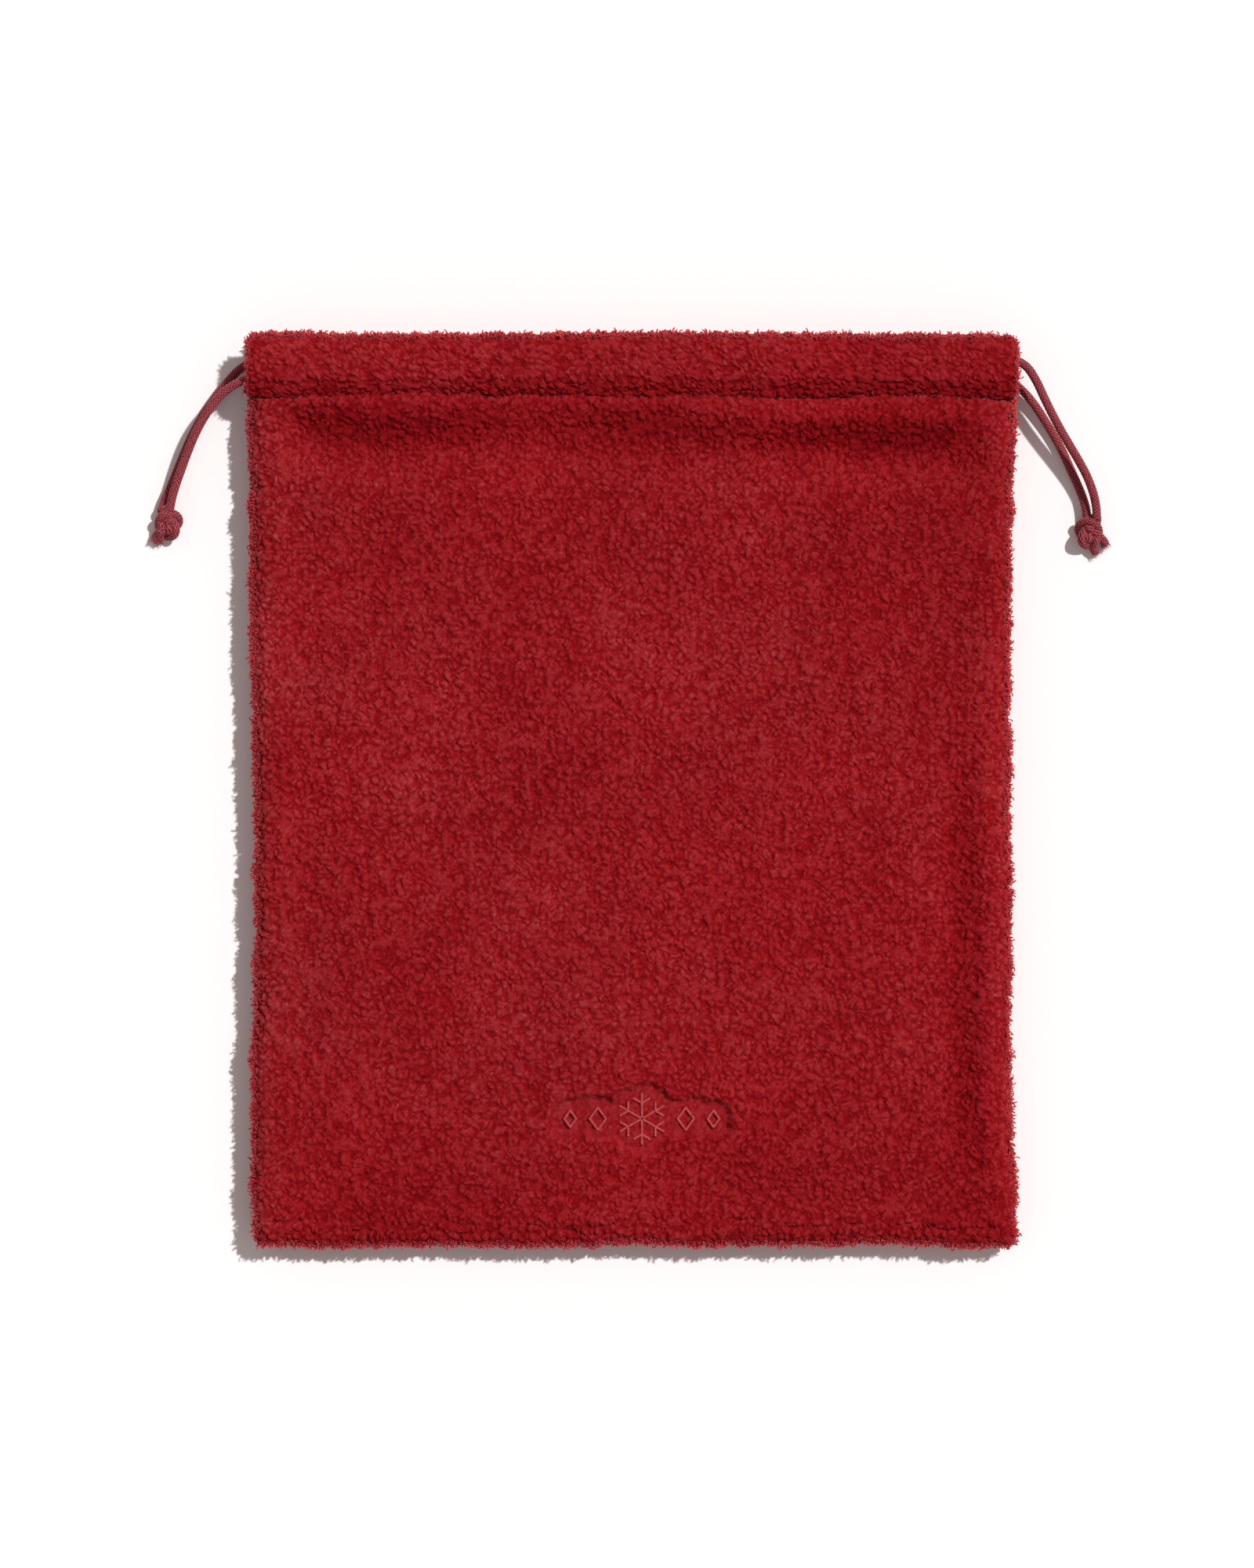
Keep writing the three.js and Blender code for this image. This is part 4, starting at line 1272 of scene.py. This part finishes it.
def grow(name, source_mesh, tree, material, seed, sizes):
    """The plain mesh that a rule tree makes from a source mesh; sizes are in metres and radians."""
    holder = bpy.data.objects.new(name + "_rule", source_mesh)
    bpy.context.scene.collection.objects.link(holder)
    rule = holder.modifiers.new("rule", "NODES")
    rule.node_group = tree
    identifiers = {
        item.name: item.identifier
        for item in tree.interface.items_tree
        if item.item_type == "SOCKET" and item.in_out == "INPUT"
    }
    for title, value in {**sizes, "Seed": seed, "Material": material}.items():
        rule[identifiers[title]] = value
    evaluated = holder.evaluated_get(bpy.context.evaluated_depsgraph_get())
    mesh = bpy.data.meshes.new_from_object(evaluated)
    bpy.data.objects.remove(holder)
    mesh.name = name
    if signed_volume(mesh) < 0:
        mesh.flip_normals()
    piece = bpy.data.objects.new(name, mesh)
    bpy.context.scene.collection.objects.link(piece)
    return piece


def read_numbers(items, title, width, kind=np.float32):
    """The numbers that a mesh keeps for its points or faces, as rows where there is more than one for each."""
    numbers = np.empty(len(items) * width, kind)
    items.foreach_get(title, numbers)
    return numbers if width == 1 else numbers.reshape(-1, width)


def signed_volume(mesh):
    mesh.calc_loop_triangles()
    corners = read_numbers(mesh.loop_triangles, "vertices", 3, np.int32)
    a, b, c = read_numbers(mesh.vertices, "co", 3).astype(float)[corners].transpose(1, 0, 2)
    return float(np.einsum("ij,ij->i", a, np.cross(b, c)).sum() / 6)


GROUND_SHARE = 0.25
UP_SHARE = 0.25
TABLE_CLEARANCE = 0.15


def light_as_ground(mesh):
    """Turn the tufts' normals partly to the cloth's own and partly up, so that loose pile is lit softly."""
    own = read_numbers(mesh.vertices, "normal", 3)
    ground = read_numbers(mesh.attributes["facing"].data, "vector", 3)
    normals = (1.0 - GROUND_SHARE - UP_SHARE) * own + GROUND_SHARE * ground
    normals[:, 2] += UP_SHARE
    normals /= np.maximum(np.linalg.norm(normals, axis=1, keepdims=True), 1e-6)
    mesh.normals_split_custom_set_from_vertices(normals.tolist())


def keep_above_table(mesh):
    """Press loose pile that would reach through the table flat onto it."""
    points = read_numbers(mesh.vertices, "co", 3).ravel()
    points[2::3] = np.maximum(points[2::3], TABLE_CLEARANCE * MM)
    mesh.vertices.foreach_set("co", points)


def surface_area(mesh):
    return float(read_numbers(mesh.polygons, "area", 1).sum())


TUFTS = tuft_tree()
STITCHES = stitch_tree()

# Each layer's share of the short tufts' number, its length and thickness in millimetres, and its tilt in radians.
TUFT_LAYERS = ((1.0, 1.7, 0.25, 0.8), (0.25, 2.5, 0.24, 0.5))


def add_tufts(cloth, count, replaced):
    """Short and long tufts over one piece of cloth, about count of the short ones."""
    side = cloth.name.rsplit("_", 1)[1]
    weights = read_numbers(cloth.data.attributes["pile"].data, "value", 1)
    density = count / max(surface_area(cloth.data) * float(weights.mean()), 1e-9)
    made = []
    for layer, (share, length, thick, tilt) in enumerate(TUFT_LAYERS):
        sizes = {"Density": share * density, "Length": length * MM, "Thickness": thick * MM, "Tilt": tilt}
        seed = 11 + layer + (50 if side == "right" else 0)
        tufts = grow(f"{cloth.name}_tufts_{layer + 1}", cloth.data, TUFTS, tufts_finish, seed, sizes)
        light_as_ground(tufts.data)
        keep_above_table(tufts.data)
        bend_with_side(tufts, replaced)
        made.append(tufts)
    return made


pile_layers = {}
for cloths, count, replaced in (
    (front_pieces, 4900, "front_panel"),
    (front_casings, 3900, "front_panel"),
    (back_pieces, 1900, "back_panel"),
    (back_casings, 1200, "back_panel"),
):
    for cloth in cloths:
        pile_layers[cloth.name] = add_tufts(cloth, count, replaced)


def seam_line(name, points):
    """Bare lines of edges for stitches to follow: points is a list of routes in millimetres."""
    mesh = bpy.data.meshes.new(name)
    places, edges = [], []
    for route in points:
        start = len(places)
        places += [tuple(point) for point in np.asarray(route) * MM]
        edges += [(start + k, start + k + 1) for k in range(len(route) - 1)]
    mesh.from_pydata(places, edges, [])
    return mesh


def sew(name, routes, finish, pitch, length, thick, arch, turn=0.0, seed=1):
    sizes = {"Pitch": pitch * MM, "Length": length * MM, "Thickness": thick * MM, "Arch": arch * MM, "Turn": turn}
    return grow(name, seam_line(name + "_line", routes), STITCHES, finish, seed, sizes)


def casing_stitching(face, height):
    for side, sign in SIDES.items():
        x = np.linspace(1.4, HALF_WIDTH - 3.0, 60) * sign
        line = np.stack([x, np.full_like(x, STITCH_Y), np.full_like(x, height)], axis=-1)
        line[:, 1] += seam_wander(x)
        piece = sew(f"{face}_casing_stitches_{side}", [line], thread_finish, 3.0, 2.7, 0.7, 0.55)
        bend_with_side(piece, f"{face}_casing_stitching")


casing_stitching("front", STITCH_LOW[2] + 0.3)
casing_stitching("back", box_mm("back_casing_stitching")[0][2] + 0.5)


def snowflake_strokes():
    middle = (MARK_LOW + MARK_HIGH) / 2
    radius = (MARK_HIGH[1] - MARK_LOW[1]) / 2 - 0.4
    strokes = []
    for arm in range(6):
        angle = math.pi / 6 + arm * math.pi / 3
        out = np.array([math.cos(angle), math.sin(angle), 0.0])
        strokes.append([middle + out * 0.7, middle + out * radius])
        for fork in (-1, 1):
            turned = angle + fork * math.pi / 3
            branch = np.array([math.cos(turned), math.sin(turned), 0.0])
            root = middle + out * radius * 0.62
            strokes.append([root + branch * 0.5, root + branch * radius * 0.36])
    return strokes


def lozenge_strokes(node):
    low, high = box_mm(node)
    middle, half = (low + high) / 2, (high - low) / 2 - 0.75
    corners = [middle + np.array(step) * half for step in ((1, 0, 0), (0, 1, 0), (-1, 0, 0), (0, -1, 0))]
    return [[a, b] for a, b in zip(corners, corners[1:] + corners[:1])]


def embroidery():
    strokes = {"embroidery_snowflake": snowflake_strokes()}
    for side in SIDES:
        for index in (1, 2):
            node = f"embroidery_lozenge_{side}_{index}"
            strokes[node] = lozenge_strokes(node)
    for node, routes in strokes.items():
        piece = sew(node + "_satin", routes, mark_finish, 0.38, 0.85, 0.42, 0.5, math.radians(72))
        carry(piece, "sack", node)


embroidery()

# ---------------------------------------------------------------- seams turned inside, and the backing of the mark

allowance_finish = cloth_finish(
    "seam_allowance", "curl", [(0.0, (0.05, 0.0006, 0.0015)), (0.5, (0.16, 0.004, 0.006)), (1.0, (0.3, 0.012, 0.016))],
    1500.0, 620.0, 0.5, 0.1, (0.9, 0.3, 0.3),
)
backing_finish = cloth_finish(
    "stabiliser", "curl", [(0.0, (0.4, 0.36, 0.34)), (1.0, (0.7, 0.66, 0.62))], 2200.0, 900.0, 0.3, 0.0, (1.0, 1.0, 1.0)
)

STRIP_RING = 28
STRIP_WIDTH = 8.6
STRIP_THICK = 6.4
STRIP_INSET = 0.5
STRIP_CURLS = 1.1
END_TAPER = 5


def strip_section():
    """A turned-in seam across its length: how far inwards and how high, with a groove between its two raw edges."""
    turn = np.arange(STRIP_RING) * 2 * math.pi / STRIP_RING
    power = 0.6
    inward = STRIP_WIDTH / 2 * (1.0 - np.sign(np.cos(turn)) * np.abs(np.cos(turn)) ** power)
    height = STRIP_THICK / 2 * np.sign(np.sin(turn)) * np.abs(np.sin(turn)) ** power
    groove = 1.8 * np.exp(-((height / 1.1) ** 2)) * (np.cos(turn) < 0)
    return inward - groove, height


def turned_in_seam(name, route, inward, replaced):
    """A padded strip of two raw cloth edges that follows a crease on its inside."""
    deep, high = strip_section()
    inward = np.array(inward, float)
    line = route + inward * STRIP_INSET
    count = len(line)
    wave = 0.5 * soft_noise(line, 14.0, 101) + 0.3 * soft_noise(line, 5.0, 102)
    from_end = np.minimum(np.arange(count), np.arange(count)[::-1])
    size = np.sqrt(np.clip((from_end + 0.4) / END_TAPER, 0.0, 1.0))
    across = deep[None, :] * (size * (1.0 + 0.07 * wave))[:, None]
    up = high[None, :] * size[:, None] + 0.3 * wave[:, None]
    smooth = line[:, None, :] + across[..., None] * inward + up[..., None] * np.array([0.0, 0.0, 1.0])
    normals = grid_normals(smooth, around=True)
    middle = count // 2
    outward = np.sign(np.sum(normals[middle] * (smooth[middle] - smooth[middle].mean(axis=0))))
    normals = normals * outward
    relief, tone_with_painted_shade = curl_relief(smooth)
    grid = smooth + normals * ((relief - 0.5) * STRIP_CURLS)[..., None]
    faces = [tuple(face) for face in grid_quads(count, STRIP_RING, around=True).tolist()]
    faces += end_fans(count, STRIP_RING)
    if outward > 0:
        faces = [face[::-1] for face in faces]
    # The strip's colour value is the curls' tone, with painted shade in their gaps.
    piece = mesh_object(name, with_end_points(grid), faces, values={"curl": np.append(tone_with_painted_shade.ravel(), [0.3, 0.3])})
    piece.data.materials.append(allowance_finish)
    bend_with_side(piece, replaced)
    return piece


SEAM_STITCH_IN = 2.4
OVERLOCK_IN = 7.2
STRIP_TOP = STRIP_THICK / 2 + 0.1


def build_seams():
    """The side seams with their bartacks and the bottom seam, each as cloth, stitching and overlocking."""
    made = {side: [] for side in SIDES}
    side_low, side_high = box_mm("left_side_seam")
    foot_high = box_mm("bottom_seam")[1]
    for side, sign in SIDES.items():
        crease = creases[side][::5]
        side_route = crease[(crease[:, 1] > side_low[1] + 3.0) & (crease[:, 1] < side_high[1])]
        foot = creases["foot"][::4]
        foot_route = foot[(foot[:, 0] * sign >= 0.0) & (foot[:, 0] * sign < foot_high[0])]
        runs = (
            (f"{side}_side_seam", f"{side}_seam_stitching", f"{side}_overlock", side_route, (-sign, 0.0, 0.0)),
            ("bottom_seam", "bottom_seam_stitching", "bottom_overlock", foot_route, (0.0, 1.0, 0.0)),
        )
        for seam, stitching, overlock, route, inward in runs:
            suffix = f"_{side}" if seam.startswith("bottom") else ""
            route = route * [1.0, 1.0, 0.0] + [0.0, 0.0, SEAM_Z]
            made[side].append(turned_in_seam(f"{seam}_strip{suffix}", route, inward, seam))
            inward = np.array([*inward[:2], 0.0])
            lift = np.array([0.0, 0.0, STRIP_TOP])
            row = route[3:-3] + inward * SEAM_STITCH_IN + lift
            piece = sew(f"{stitching}_stitches{suffix}", [row], thread_finish, 3.0, 2.6, 0.7, 0.4)
            bend_with_side(piece, stitching)
            row = route[3:-3] + inward * OVERLOCK_IN + lift
            piece = sew(f"{overlock}_loops{suffix}", [row], thread_finish, 1.7, 3.4, 0.6, 0.5, math.radians(76))
            bend_with_side(piece, overlock)
        tack_low, tack_high = box_mm(f"{side}_slit_bartack")
        tack_y = (tack_low[1] + tack_high[1]) / 2
        edge = np.interp(tack_y, crease[::-1, 1], np.abs(crease[::-1, 0])) - 1.2
        rows = [
            [(sign * edge, tack_y, SEAM_Z + step), (sign * (edge - 7.5), tack_y, SEAM_Z + step)] for step in (-1.6, 1.6)
        ]
        length = tack_high[1] - tack_low[1]
        piece = sew(f"{side}_bartack_satin", rows, thread_finish, 0.5, length, 0.6, 0.8, math.radians(88))
        bend_with_side(piece, f"{side}_slit_bartack")
    return made


def build_backing():
    """The stiff backing behind the embroidery: a thin sheet, a little rumpled, on the inside of the front cloth."""
    low, high = box_mm("embroidery_backing")
    x, y = np.meshgrid(np.linspace(low[0], high[0], 73), np.linspace(high[1], low[1], 25))
    flat = on_plane(x, y)
    grid = flat + [0.0, 0.0, high[2]] + np.array([0.0, 0.0, 0.2]) * soft_noise(flat, 9.0, 103)[..., None]
    normals = grid_normals(grid)
    normals = normals * np.sign(normals[0, 0, 2])
    lining = grid - [0.0, 0.0, high[2] - low[2]]
    piece = lined_sheet("embroidery_backing_sheet", grid, lining, normals, {"curl": np.full(x.shape, 0.6)}, True)
    piece.data.materials.append(backing_finish)
    carry(piece, "sack", "embroidery_backing")


seam_pieces = build_seams()
build_backing()
for cloth in back_pieces:
    pile_layers[cloth.name] = pile_layers[cloth.name] + seam_pieces[cloth.name.rsplit("_", 1)[1]]
